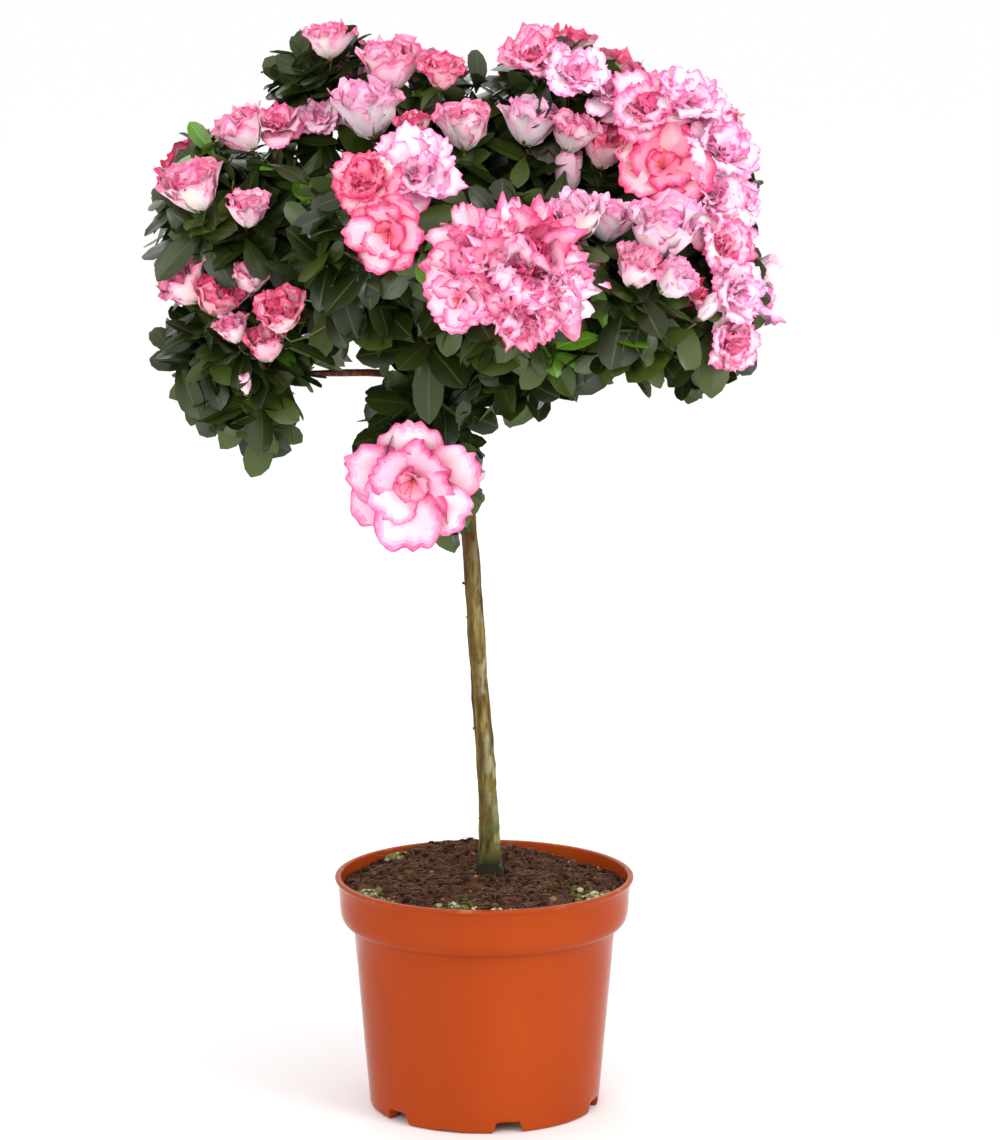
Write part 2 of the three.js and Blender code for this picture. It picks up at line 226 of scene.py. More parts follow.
outside = [(0, 0), (PLATE_RADIUS, 0), (48, CHANNEL_TOP), (58, CHANNEL_TOP), (60.5, 0.6), (61.2, 0)]
outside += arc(BASE_RADIUS - 2.2, 2.2, 2.2, -90, 0, 6)
outside += [(66.9, 12), (69.0, 36), (71.1, 60), (73.5, 88)]
outside += [(BODY_TOP_RADIUS, BODY_TOP), (BODY_TOP_RADIUS + 0.4, BODY_TOP + 0.6)]
outside += [(77.2, 105.7), (79.7, 107.4), (81.3, 109.5)]  # the collar's foot rolls in under it
outside += [(82.2, 112.0), (82.7, 115.5), (83.0, 122), (83.6, POT_HEIGHT - 4.2), (84.3, POT_HEIGHT - 2.9)]
outside += arc(RIM_RADIUS - 0.9, POT_HEIGHT - 1.3, 0.9, -60, 0, 4)
lip = arc(RIM_RADIUS - 1.0, POT_HEIGHT - 1.0, 1.0, 10, 90, 5)
lip += [(RIM_RADIUS - 2.3, POT_HEIGHT)]
lip += arc(RIM_RADIUS - 2.6, POT_HEIGHT - 0.9, 0.9, 100, 175, 4)
inside = [(81.9, POT_HEIGHT - 6), (81.0, 118), (80.6, COLLAR_BOTTOM + 0.8)]
inside += [(BODY_TOP_RADIUS - WALL, BODY_TOP), (65.4, 12), (64.6, CHANNEL_TOP + WALL)]
inside += [(47, CHANNEL_TOP + WALL), (43, WALL), (0, WALL)]
section = np.array(outside + lip + inside)

turn = np.arange(SPIN_STEPS) / SPIN_STEPS * 2 * math.pi
spun = section[1:-1]
pot_points = np.stack([spun[:, :1] * np.cos(turn), spun[:, :1] * np.sin(turn),
                       np.broadcast_to(spun[:, 1:], (len(spun), SPIN_STEPS))], -1).reshape(-1, 3)
walls = grid_faces(1, len(spun), SPIN_STEPS, wrap=True)
middles = np.array([[0, 0, section[0, 1]], [0, 0, section[-1, 1]]])
under, above = len(pot_points), len(pot_points) + 1
around = np.arange(SPIN_STEPS)
beside = (around + 1) % SPIN_STEPS
last_ring = (len(spun) - 1) * SPIN_STEPS
fan_under = np.stack([np.full(SPIN_STEPS, under), beside, around], -1)
fan_above = np.stack([np.full(SPIN_STEPS, above), last_ring + around, last_ring + beside], -1)
print("pot section:", len(section), "points")

# %% [markdown]
# ## The pot's plastic
# Growing pots are injection moulded from orange-brown polypropylene. The surface is satin: broad soft
# highlights, a faint grain, and slight clouding where the plastic flowed. The lip is paler in patches.
# A few noise patterns at very different scales give that without a picture.


# %% Plastic finish
def shader_of(material):
    material.use_nodes = True
    nodes = material.node_tree.nodes
    return nodes, material.node_tree.links, nodes["Principled BSDF"]


def add_noise(nodes, links, scale, detail, stretch=(1, 1, 1), roughness=0.55):
    """A cloudy pattern in the object's own space, stretched along its axes."""
    place = nodes.new("ShaderNodeTexCoord")
    mapping = nodes.new("ShaderNodeMapping")
    mapping.inputs["Scale"].default_value = stretch
    cloud = nodes.new("ShaderNodeTexNoise")
    cloud.inputs["Scale"].default_value = scale
    cloud.inputs["Detail"].default_value = detail
    cloud.inputs["Roughness"].default_value = roughness
    links.new(place.outputs["Object"], mapping.inputs["Vector"])
    links.new(mapping.outputs["Vector"], cloud.inputs["Vector"])
    return cloud.outputs["Fac"]


def add_ramp(nodes, links, source, stops):
    """Turns a pattern into colours or greys. stops holds (position, screen colour)."""
    ramp = nodes.new("ShaderNodeValToRGB")
    elements = ramp.color_ramp.elements
    while len(elements) < len(stops):
        elements.new(0.5)
    for element, (position, code) in zip(elements, stops):
        element.position = position
        element.color = paint(code)
    links.new(source, ramp.inputs["Fac"])
    return ramp.outputs["Color"]


def add_bump(nodes, links, shader, source, height, strength=1.0, under=None):
    bump = nodes.new("ShaderNodeBump")
    bump.inputs["Distance"].default_value = height
    bump.inputs["Strength"].default_value = strength
    links.new(source, bump.inputs["Height"])
    if under is not None:
        links.new(under, bump.inputs["Normal"])
    links.new(bump.outputs["Normal"], shader.inputs["Normal"])
    return bump.outputs["Normal"]


def mix_colours(nodes, links, share, first, second):
    mix = nodes.new("ShaderNodeMix")
    mix.data_type = "RGBA"
    for socket, value in (("Factor", share), ("A", first), ("B", second)):
        target = [s for s in mix.inputs if s.name == socket and s.enabled][0]
        if isinstance(value, bpy.types.NodeSocket):
            links.new(value, target)
        else:
            target.default_value = value
    return [s for s in mix.outputs if s.enabled][0]


def split_place(nodes, links):
    """The outputs X, Y and Z of the place on the object."""
    place = nodes.new("ShaderNodeTexCoord")
    split = nodes.new("ShaderNodeSeparateXYZ")
    links.new(place.outputs["Object"], split.inputs["Vector"])
    return split.outputs


def band_mask(nodes, links, source, low, high):
    """A share from 0 at low to 1 at high, low and high being places in metres."""
    band = nodes.new("ShaderNodeMapRange")
    band.inputs["From Min"].default_value = low
    band.inputs["From Max"].default_value = high
    links.new(source, band.inputs["Value"])
    return band.outputs["Result"]


def times(nodes, links, first, second):
    product = nodes.new("ShaderNodeMath")
    product.operation = "MULTIPLY"
    links.new(first, product.inputs[0])
    links.new(second, product.inputs[1])
    return product.outputs["Value"]


def scuff_mask(nodes, links):
    """Where the pot is paler in patches: the lip, near the top of its height."""
    height = split_place(nodes, links)["Z"]
    lip_only = band_mask(nodes, links, height, (POT_HEIGHT - 2.0) * MM, POT_HEIGHT * MM)
    patches = add_ramp(nodes, links, add_noise(nodes, links, 60, 6), [(0.54, "000000"), (0.70, "ffffff")])
    return times(nodes, links, lip_only, patches)


plastic = bpy.data.materials.new("terracotta_plastic")
nodes, links, shader = shader_of(plastic)
clouding = add_noise(nodes, links, 9, 3, stretch=(1, 1, 0.45))
clouded = add_ramp(nodes, links, clouding, [(0.30, "9a3b14"), (0.55, "a33f15"), (0.75, "ac4619")])
# paler in patches along the top of the lip
lip_paled = mix_colours(nodes, links, scuff_mask(nodes, links), clouded, paint("c47a55"))
links.new(lip_paled, shader.inputs["Base Color"])
sheen_marks = add_ramp(nodes, links, add_noise(nodes, links, 35, 5), [(0.3, "6a6a6a"), (0.7, "868686")])
links.new(sheen_marks, shader.inputs["Roughness"])
grain = add_noise(nodes, links, 900, 2)
flow = add_noise(nodes, links, 28, 2, stretch=(1, 1, 0.2))
lumps = add_bump(nodes, links, shader, flow, 0.0006, 0.35)
add_bump(nodes, links, shader, grain, 0.0001, 0.35, under=lumps)
shader.inputs["Specular IOR Level"].default_value = 0.06
print("plastic:", len(nodes), "nodes")

# %% Cut the drainage slots and finish the pot
pot = joined_piece("growing_pot", np.vstack([pot_points, middles]) * MM,
                   [(walls, 0), (fan_under, 0), (fan_above, 0)], [plastic], ["pot"])


def slot_prism(width, height, angle):
    """A slot's cutter: a rounded trapezium pushed through the foot ring at an angle from the front."""
    half = width / 2
    corner = min(2.2, height * 0.8)
    outline = [(-half - 2.6, -1.0), (-half - 1.0, 0.0)]
    outline += [(-half + 0.6 + corner * (1 - math.cos(t)), height - corner * (1 - math.sin(t)))
                for t in np.linspace(0, math.pi / 2, 5)]
    outline = np.array(outline + [(-x, z) for x, z in reversed(outline)])
    near = np.column_stack([outline[:, 0], np.full(len(outline), -59.0), outline[:, 1]])
    far = near + [0, -14, 0]
    spin = Matrix.Rotation(math.radians(angle), 3, "Z")
    points = np.vstack([near, far]) @ np.array(spin.transposed())
    count = len(outline)
    number = np.arange(count)
    sides = np.stack([number, number + count, (number + 1) % count + count, (number + 1) % count], -1)
    return points, sides, number[None], number[None, ::-1] + count


DEEP_SLOTS = [12 + 60 * step for step in range(6)]
SHALLOW_SLOTS = [-18 + 120 * step for step in range(3)]
cutter_points, cutter_sides, cutter_ends = [], [], []
for angle in DEEP_SLOTS + SHALLOW_SLOTS:
    width, height = (16.0, CHANNEL_TOP) if angle in DEEP_SLOTS else (11.5, 1.5)
    points, sides, near, far = slot_prism(width, height, angle)
    first = sum(len(p) for p in cutter_points)
    cutter_points.append(points)
    cutter_sides.append(sides + first)
    cutter_ends += [near + first, far + first]
cutter_mesh = bpy.data.meshes.new("slots")
cutter_faces = [list(f) for group in cutter_sides + cutter_ends for f in group]
cutter_mesh.from_pydata((np.vstack(cutter_points) * MM).tolist(), [],
                        [[int(c) for c in f] for f in cutter_faces])
cutter = bpy.data.objects.new("slots", cutter_mesh)
scene.collection.objects.link(cutter)
cut = pot.modifiers.new("slots", "BOOLEAN")
cut.object = cutter
cut.solver = "EXACT"


def apply_modifiers(piece):
    graph = bpy.context.evaluated_depsgraph_get()
    finished = bpy.data.meshes.new_from_object(piece.evaluated_get(graph))
    piece.modifiers.clear()
    piece.data = finished


apply_modifiers(pot)
bpy.data.objects.remove(cutter)
edge_rounding = pot.modifiers.new("edges", "BEVEL")
edge_rounding.width = 0.45 * MM
edge_rounding.segments = 2
edge_rounding.limit_method = "ANGLE"
edge_rounding.angle_limit = math.radians(48)
apply_modifiers(pot)
pot.data.shade_smooth()
pot.data.set_sharp_from_angle(angle=math.radians(40))
print("pot finished with", len(pot.data.polygons), "faces and", len(DEEP_SLOTS), "deep slots")

# %% [markdown]
# ## Peat
# The pot is full of moist peat: dark, fibrous and crumbly, domed round the trunk and heaped up at the
# back. A relief mesh gives its surface, read from the fixed frame's plain solid by dropping a line on
# it at every point and adding lumps at three sizes. Loose crumbs and root fibres lie on top, because
# a bumpy surface alone looks like cloth. Pale moss has settled where the peat meets the rim.


# %% Peat surface
def frame_tree(names):
    """The fixed frame's solids as one tree, for dropping lines on them."""
    corners, faces = [], []
    for name in names:
        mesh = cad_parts[name].data
        first = len(corners)
        corners += [v.co.copy() for v in mesh.vertices]
        faces += [[first + c for c in p.vertices] for p in mesh.polygons]
    return BVHTree.FromPolygons(corners, faces)


def fractal(point, scale, octaves=4):
    return noise.fractal(Vector(point) * scale, 0.9, 2.0, octaves)


peat_tree = frame_tree(["potting_soil"])
PEAT_RADIUS = 81.2 * MM
PEAT_RINGS, PEAT_SPOKES = 105, 260
PEAT_LIMIT = 0.985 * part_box("potting_soil")[1].x
DROP_FROM = 0.3
SKIRT_HEIGHT = 0.111  # the peat's mesh is closed down here, out of sight in the pot


def peat_height(x, y):
    """Height of the finished peat: the plain solid plus clods, lumps and grains."""
    inward = min(1.0, PEAT_LIMIT / max(math.hypot(x, y), 1e-9))
    hit = peat_tree.ray_cast(Vector((x * inward, y * inward, DROP_FROM)), Vector((0, 0, -1)))[0]
    clods = 1.5 * fractal((x, y, 0.3), 60)
    lumps = 1.0 * abs(fractal((x, y, 1.7), 190))
    grains = 0.55 * fractal((x, y, 4.1), 620, 2)
    return hit.z + (clods + lumps + grains - 0.3) * MM


reach = (np.linspace(0, 1, PEAT_RINGS)[1:] ** 0.85) * PEAT_RADIUS
spokes = np.arange(PEAT_SPOKES) / PEAT_SPOKES * 2 * math.pi
peat_rings = [[(r * math.cos(t), r * math.sin(t), peat_height(r * math.cos(t), r * math.sin(t)))
               for t in spokes] for r in reach]
skirt = [[(x * 0.995, y * 0.995, SKIRT_HEIGHT) for x, y, _ in peat_rings[-1]]]
peat_points = np.array(peat_rings + skirt).reshape(-1, 3)
peat_walls = grid_faces(1, PEAT_RINGS, PEAT_SPOKES, wrap=True)
around = np.arange(PEAT_SPOKES)
beside = (around + 1) % PEAT_SPOKES
top, bottom = len(peat_points), len(peat_points) + 1
final = (PEAT_RINGS - 1) * PEAT_SPOKES
peat_points = np.vstack([peat_points, [[0, 0, peat_height(0, 0)], [0, 0, SKIRT_HEIGHT]]])
peat_fans = np.concatenate([np.stack([np.full(PEAT_SPOKES, top), around, beside], -1),
                            np.stack([np.full(PEAT_SPOKES, bottom), final + beside, final + around], -1)])

peat_finish = bpy.data.materials.new("moist_peat")
nodes, links, shader = shader_of(peat_finish)
patches = add_noise(nodes, links, 120, 8, roughness=0.7)
peat_colour = add_ramp(nodes, links, patches,
                       [(0.34, "22120a"), (0.48, "3f2413"), (0.60, "593722"), (0.74, "785235")])
links.new(peat_colour, shader.inputs["Base Color"])
shader.inputs["Roughness"].default_value = 0.92
shader.inputs["Specular IOR Level"].default_value = 0.2
add_bump(nodes, links, shader, add_noise(nodes, links, 900, 6), 0.0008, 0.7)
joined_piece("peat_surface", peat_points, [(peat_walls[:, ::-1], 0), (peat_fans[:, ::-1], 0)],
             [peat_finish], ["potting_soil"])

# %% Crumbs, fibres and moss
dice = np.random.default_rng(1108)
BALL_RATIO = (1 + math.sqrt(5)) / 2
BALL = unit(np.array([[-1, BALL_RATIO, 0], [1, BALL_RATIO, 0], [-1, -BALL_RATIO, 0], [1, -BALL_RATIO, 0],
                      [0, -1, BALL_RATIO], [0, 1, BALL_RATIO], [0, -1, -BALL_RATIO], [0, 1, -BALL_RATIO],
                      [BALL_RATIO, 0, -1], [BALL_RATIO, 0, 1], [-BALL_RATIO, 0, -1], [-BALL_RATIO, 0, 1]]))
BALL_FACES = np.array([[0, 11, 5], [0, 5, 1], [0, 1, 7], [0, 7, 10], [0, 10, 11], [1, 5, 9], [5, 11, 4],
                       [11, 10, 2], [10, 7, 6], [7, 1, 8], [3, 9, 4], [3, 4, 2], [3, 2, 6], [3, 6, 8],
                       [3, 8, 9], [4, 9, 5], [2, 4, 11], [6, 2, 10], [8, 6, 7], [9, 8, 1]])


def crumbs(places, sizes, flatness=0.65):
    """Small uneven lumps, each a ball of twenty faces pushed out of shape."""
    count = len(places)
    lumps = BALL[None] * dice.uniform(0.65, 1.3, (count, 12, 1)) * dice.uniform(0.7, 1.35, (count, 1, 3))
    lumps[:, :, 2] *= flatness
    points = places[:, None] + lumps * sizes[:, None, None]
    faces = np.arange(count)[:, None, None] * 12 + BALL_FACES[None]
    return points.reshape(-1, 3), faces.reshape(-1, 3)


def on_peat(radius, angle, lift):
    x, y = radius * np.cos(angle), radius * np.sin(angle)
    lifts = np.broadcast_to(lift, x.shape)
    return np.array([(a, b, peat_height(a, b) + c) for a, b, c in zip(x, y, lifts)])


CRUMBS = 1700
crumb_sizes = dice.gamma(2.2, 0.36, CRUMBS).clip(0.4, 2.7) * MM
crumb_places = on_peat(np.sqrt(dice.uniform(0, 1, CRUMBS)) * (PEAT_RADIUS - 3 * MM),
                       dice.uniform(0, 2 * math.pi, CRUMBS), crumb_sizes * 0.25)
crumb_points, crumb_faces = crumbs(crumb_places, crumb_sizes)
crumb_finishes = [plain("crumb_" + shade, code, 0.95, Specular_IOR_Level=0.15) for shade, code in
                  (("dark", "28160d"), ("brown", "442a1a"), ("tan", "664730"), ("pale", "8a6c4c"))]
crumb_numbers = np.repeat(dice.choice(4, CRUMBS, p=(0.44, 0.40, 0.13, 0.03)), len(BALL_FACES))
joined_piece("peat_crumbs", crumb_points, [(crumb_faces, crumb_numbers)], crumb_finishes)

FIBRES = 420
FIBRE_REACH = 74 * MM
RESTING = 0.6 * MM  # how far the middle of a fibre or tuft lies above the peat
fibre_turn = dice.uniform(0, 2 * math.pi, FIBRES)
fibre_start = on_peat(np.sqrt(dice.uniform(0, 1, FIBRES)) * FIBRE_REACH,
                      dice.uniform(0, 2 * math.pi, FIBRES), RESTING)
fibre_length = dice.uniform(3, 11, FIBRES) * MM
along = np.linspace(0, 1, 5)
bend = dice.normal(0, 1.1, FIBRES)
course = fibre_turn[:, None] + bend[:, None] * along
fibre_paths = np.stack([fibre_start[:, None, 0] + fibre_length[:, None] * along * np.cos(course),
                        fibre_start[:, None, 1] + fibre_length[:, None] * along * np.sin(course),
                        fibre_start[:, None, 2] + 0.9 * MM * np.sin(along * math.pi)
                        * dice.uniform(0.2, 1.6, FIBRES)[:, None]], -1)
fibre_radii = dice.uniform(0.12, 0.3, FIBRES)[:, None] * MM * np.linspace(1, 0.5, 5)
fibre_points, fibre_faces = tubes(fibre_paths, fibre_radii, 4)
joined_piece("root_fibres", fibre_points, [(f, 0) for f in fibre_faces],
             [plain("root_fibre", "79573a", 0.8)])

MOSS_BEDS = [  # across, depth and spread in mm, and tufts
    (-69, -27, 11, 130), (-60, -44, 8, 60), (-14, -70, 16, 110), (8, -72, 12, 60), (66, -34, 15, 170),
    (-52, 44, 7, 40),
]
MOSS_REACH = 79.5
moss_places = []
for across, depth, spread, tufts in MOSS_BEDS:
    spot = np.array([across, depth]) + dice.normal(0, spread * 0.45, (tufts, 2))
    distance = np.linalg.norm(spot, axis=1)
    spot *= np.minimum(1, MOSS_REACH / distance)[:, None]
    radius, angle = np.linalg.norm(spot, axis=1) * MM, np.arctan2(spot[:, 1], spot[:, 0])
    moss_places.append(on_peat(radius, angle, RESTING))
moss_places = np.vstack(moss_places)
MOSS_SHADES = (("green", "4f5a2a"), ("olive", "6f6c3c"), ("grey", "97916e"), ("chalk", "bdb596"))
moss_finishes = [plain("moss_" + shade, code, 0.95, Specular_IOR_Level=0.1) for shade, code in MOSS_SHADES]
moss_sizes = dice.uniform(0.8, 2.3, len(moss_places)) * MM
moss_points, moss_faces = crumbs(moss_places, moss_sizes, flatness=0.8)
moss_numbers = np.repeat(dice.choice(4, len(moss_places), p=(0.28, 0.32, 0.28, 0.12)), len(BALL_FACES))
joined_piece("moss", moss_points, [(moss_faces, moss_numbers)], moss_finishes)

# %% [markdown]
# ## Trunk
# A standard azalea's trunk is a single bare stem, thinner than a thumb. Its bark is thin and olive
# brown, flaking to red brown, with pale lichen and moss near the damp foot. The lichen is painted only
# on the right side, where the light falls, so it is partly a painted highlight, and the very foot is
# darker in patches. Small stubs show where side shoots were rubbed off. Its middle line and girth are
# read by slicing the fixed frame's solid, so the bark always fits it. The relief is real geometry, and
# its colours are noise.


# %% Read the limbs from the frame
def slices(name, start, end, count):
    """Cuts a solid square to the line from start to end. Gives the cuts' centres and mean radii."""
    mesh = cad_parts[name].data
    corners = np.array([v.co for v in mesh.vertices])
    edges = np.array([e.vertices[:] for e in mesh.edges])
    along = unit(np.array(end) - start)
    reach = (corners - start) @ along
    first, second = reach[edges[:, 0]], reach[edges[:, 1]]
    centres, radii = [], []
    for level in np.linspace(first.min(), max(first.max(), second.max()), count + 2)[1:-1]:
        crossing = (first - level) * (second - level) < 0
        share = ((level - first) / np.where(first == second, 1, second - first))[crossing][:, None]
        a, b = corners[edges[crossing, 0]], corners[edges[crossing, 1]]
        cut = a + (b - a) * share
        centres.append((cut.min(0) + cut.max(0)) / 2)
        radii.append(np.linalg.norm(cut - cut.mean(0), axis=1).mean())
    return np.array(centres), np.array(radii)


def smooth_path(points, stations):
    """Resamples a rough line evenly after a light rounding of its corners."""
    rounded = points.copy()
    for _ in range(2):
        rounded[1:-1] = (rounded[:-2] + 2 * rounded[1:-1] + rounded[2:]) / 4
    walked = np.concatenate([[0], np.cumsum(np.linalg.norm(np.diff(rounded, axis=0), axis=1))])
    return np.stack([np.interp(np.linspace(0, walked[-1], stations), walked, rounded[:, i])
                     for i in range(rounded.shape[1])], -1)


TRUNK_LOW, TRUNK_HIGH = (np.array(p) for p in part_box("trunk"))
trunk_line, trunk_girth = slices("trunk", (0, 0, TRUNK_LOW[2]), (0, 0, TRUNK_HIGH[2]), 26)
foot = np.append(trunk_line[0, :2], TRUNK_LOW[2] - 0.004)
fork = trunk_line[-1] + (trunk_line[-1] - trunk_line[-3]) * 0.6
TRUNK_STATIONS, TRUNK_SIDES = 400, 64
trunk_path = smooth_path(np.vstack([foot, trunk_line, fork]), TRUNK_STATIONS)
trunk_radii = np.interp(trunk_path[:, 2], trunk_line[:, 2], trunk_girth)
FLARE_HEIGHT, FLARE = 0.009, 0.0018
above_foot = np.maximum(trunk_path[:, 2] - TRUNK_LOW[2], 0)
trunk_radii = trunk_radii + FLARE * np.exp(-above_foot / FLARE_HEIGHT)
print("trunk", round(trunk_girth[0] / MM, 1), "to", round(trunk_girth[-1] / MM, 1), "mm in radius")


# %% Bark relief
def with_bark(points, paths_of_points, depth, stretch, seed):
    """Pushes points out from their middle line by ridges that run along the limb."""
    out = points - paths_of_points
    girth = np.linalg.norm(out, axis=1)
    lifts = np.empty(len(points))
    for number, (point, r) in enumerate(zip(points.tolist(), girth.tolist())):
        ridge = noise.noise(Vector((point[0] * 520, point[1] * 520, point[2] * 520 / stretch + seed)))
        flake = noise.noise(Vector((point[0] * 210, point[1] * 210, point[2] * 140 + seed * 2)))
        knob = noise.noise(Vector((point[0] * 60, point[1] * 60, point[2] * 48 + seed)))
        lifts[number] = depth * (0.5 * ridge + 0.7 * abs(flake) + 0.9 * knob)
    return points + out / np.maximum(girth, 1e-9)[:, None] * lifts[:, None]


trunk_points, trunk_faces = tubes(trunk_path[None], trunk_radii[None], TRUNK_SIDES)
trunk_points = with_bark(trunk_points, np.repeat(trunk_path, TRUNK_SIDES, axis=0), 0.62 * MM, 5.0, 3.0)

bark = bpy.data.materials.new("trunk_bark")
nodes, links, shader = shader_of(bark)
long_streaks = add_noise(nodes, links, 260, 6, stretch=(1, 1, 0.16), roughness=0.65)
base_bark = add_ramp(nodes, links, long_streaks,
                     [(0.34, "2d230e"), (0.46, "52421b"), (0.56, "6f5e2c"), (0.68, "8f7f48")])
red_patches = add_ramp(nodes, links, add_noise(nodes, links, 85, 4, stretch=(1, 1, 0.4)),
                       [(0.50, "000000"), (0.60, "c8c8c8")])
reddened = mix_colours(nodes, links, red_patches, base_bark, paint("5e3418"))
bark_place = split_place(nodes, links)
lean = (trunk_line[0, 0] - trunk_line[-1, 0]) / (trunk_line[-1, 2] - trunk_line[0, 2])
upright = nodes.new("ShaderNodeMath")
upright.operation = "MULTIPLY_ADD"
links.new(bark_place["Z"], upright.inputs[0])
upright.inputs[1].default_value = lean
links.new(bark_place["X"], upright.inputs[2])
middle_line = trunk_line[0, 0] + lean * trunk_line[0, 2]
sideways = upright.outputs["Value"]
# painted highlight: the pale lichen is kept to the right side of the trunk, where the light falls
lit_side_highlight = band_mask(nodes, links, sideways, middle_line - 0.5 * MM, middle_line + 3.5 * MM)
low_part = band_mask(nodes, links, bark_place["Z"], TRUNK_LOW[2] + 230 * MM, TRUNK_LOW[2] + 110 * MM)
lichen_spots = add_ramp(nodes, links, add_noise(nodes, links, 150, 6, stretch=(1, 1, 0.3)),
                        [(0.48, "000000"), (0.58, "ffffff")])
# lichen spots on the lower trunk, partly real lichen and partly a painted highlight on the lit side
lichen_and_highlight = times(nodes, links, times(nodes, links, lit_side_highlight, low_part), lichen_spots)
with_lichen_and_highlight = mix_colours(nodes, links, lichen_and_highlight, reddened, paint("95916b"))
damp_foot = band_mask(nodes, links, bark_place["Z"], TRUNK_LOW[2] + 60 * MM, TRUNK_LOW[2] + 6 * MM)
moss_spots = add_ramp(nodes, links, add_noise(nodes, links, 120, 5), [(0.46, "000000"), (0.56, "ffffff")])
mossy = times(nodes, links, damp_foot, moss_spots)
with_moss = mix_colours(nodes, links, mossy, with_lichen_and_highlight, paint("55602a"))
# darker in patches at the very foot of the trunk
dark_foot_band = band_mask(nodes, links, bark_place["Z"], TRUNK_LOW[2] + 15 * MM, TRUNK_LOW[2] + 6 * MM)
dark_foot_spots = add_ramp(nodes, links, add_noise(nodes, links, 150, 4), [(0.36, "000000"), (0.46, "ffffff")])
foot_darkening = times(nodes, links, dark_foot_band, dark_foot_spots)
darkened_at_foot = mix_colours(nodes, links, foot_darkening, with_moss, paint("231c11"))
links.new(darkened_at_foot, shader.inputs["Base Color"])
shader.inputs["Roughness"].default_value = 0.82
shader.inputs["Specular IOR Level"].default_value = 0.25
add_bump(nodes, links, shader, add_noise(nodes, links, 900, 5, stretch=(1, 1, 0.3)), 0.0005, 0.6)
joined_piece("bark", trunk_points, [(f, 0) for f in trunk_faces], [bark], ["trunk"])

# %% Rubbed-off side shoots
STUB_HEIGHTS = (0.163, 0.215, 0.272, 0.281, 0.301, 0.338)
STUB_TURNS = (184, 168, 150, 188, 171, 182)
stub_paths = []
for height, turn_at in zip(STUB_HEIGHTS, np.radians(STUB_TURNS)):
    at = np.array([np.interp(height, trunk_path[:, 2], trunk_path[:, i]) for i in range(3)])
    heading = unit(np.array([math.cos(turn_at), math.sin(turn_at) * 0.5, dice.uniform(0.1, 0.7)]))
    girth = np.interp(height, trunk_path[:, 2], trunk_radii)
    length = dice.uniform(1.6, 3.4) * MM
    stub_paths.append([at + heading * (girth * 0.7 + length * step) for step in (0, 0.5, 0.85, 1.0, 1.08)])
stub_radii = np.array([[1.3, 0.95, 0.85, 0.6, 0.12]]) * MM * dice.uniform(0.75, 1.1, (len(stub_paths), 1))
stub_points, stub_faces = tubes(np.array(stub_paths), stub_radii, 8)
joined_piece("shoot_stubs", stub_points, [(f, 0) for f in stub_faces],
             [plain("stub_wood", "3e2a18", 0.85, Specular_IOR_Level=0.2)])

# %% [markdown]
# ## Boughs
# At the head of the trunk the stem was cut back again and again, so many thin boughs leave it close
# together and rise outwards. Young azalea wood is smooth and reddish brown. Each bough follows its
# solid in the frame and then goes on, thinner, into its mass of foliage.


# %% Read the boughs
NODES = sorted(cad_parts)
MASSES = [name for name in NODES if name.startswith("foliage_")]
BOUGHS = [name for name in NODES if name.startswith("bough_")]
mass_trees = {name: frame_tree([name]) for name in MASSES}
mass_middles = {name: np.mean([v.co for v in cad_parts[name].data.vertices], axis=0)
                for name in MASSES}
crown_tree = frame_tree(MASSES)
BOUGH_STATIONS, BOUGH_SIDES = 80, 20

bough_paths, bough_radii, mass_roots = [], [], {}
for name in BOUGHS:
    corners = np.array([v.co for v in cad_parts[name].data.vertices])
    away = np.linalg.norm(corners - fork, axis=1)
    start = corners[away < away.min() + 2 * MM].mean(0)
    end = corners[away > away.max() - 2 * MM].mean(0)
    centres, girths = slices(name, start, end, 9)
    mass = "foliage_" + name[6:]
    target = mass_middles.get(mass, mass_middles["foliage_core"])
    hub = centres[-1] + (target - centres[-1]) * 0.35
    inner = trunk_path[np.abs(trunk_path[:, 2] - min(start[2], trunk_path[-1, 2]) + 8 * MM).argmin()]
    line = smooth_path(np.vstack([inner, start, centres, hub]), BOUGH_STATIONS)
    share = np.linspace(0, 1, BOUGH_STATIONS)
    girth = np.interp(share, np.linspace(0.06, 0.86, len(girths)), girths)
    bough_paths.append(line)
    bough_radii.append(girth * np.interp(share, [0, 0.86, 1], [1.0, 1.0, 0.8]))
    carried = mass if mass in mass_middles else "foliage_core"
    mass_roots[carried] = (hub, unit(hub - line[-12]), girth[-1] * 0.8)
for mass in MASSES:
    mass_roots.setdefault(mass, mass_roots["foliage_core"])

bough_paths, bough_radii = np.array(bough_paths), np.array(bough_radii)
bough_points, bough_faces = tubes(bough_paths, bough_radii, BOUGH_SIDES)
bough_points = with_bark(bough_points, np.repeat(bough_paths.reshape(-1, 3), BOUGH_SIDES, axis=0),
                         0.22 * MM, 4.0, 9.0)
young_bark = bpy.data.materials.new("young_bark")
nodes, links, shader = shader_of(young_bark)
streaks = add_noise(nodes, links, 300, 5, stretch=(1, 1, 0.35))
links.new(add_ramp(nodes, links, streaks, [(0.35, "3c2015"), (0.5, "6a3420"), (0.66, "8f5a38")]),
          shader.inputs["Base Color"])
shader.inputs["Roughness"].default_value = 0.6
shader.inputs["Specular IOR Level"].default_value = 0.35
joined_piece("bough_bark", bough_points, [(f, 0) for f in bough_faces], [young_bark], BOUGHS)

# %% [markdown]
# ## Petals
# The flowers are double: four or five petals became a crowd of them, each broad, soft and crimped
# along its edge, pale in the middle and hot pink at the rim. One petal is a small grid, bent along its
# length, rolled across and waved at the edge. Arrays of such grids make every whorl at once. A face
# takes its tone from how near the rim it lies, so no picture is needed. Inner whorls and the feet of
# some inner petals are painted deeper pink as painted shade, and each kind of flower is painted paler
# or deeper for how it is lit.


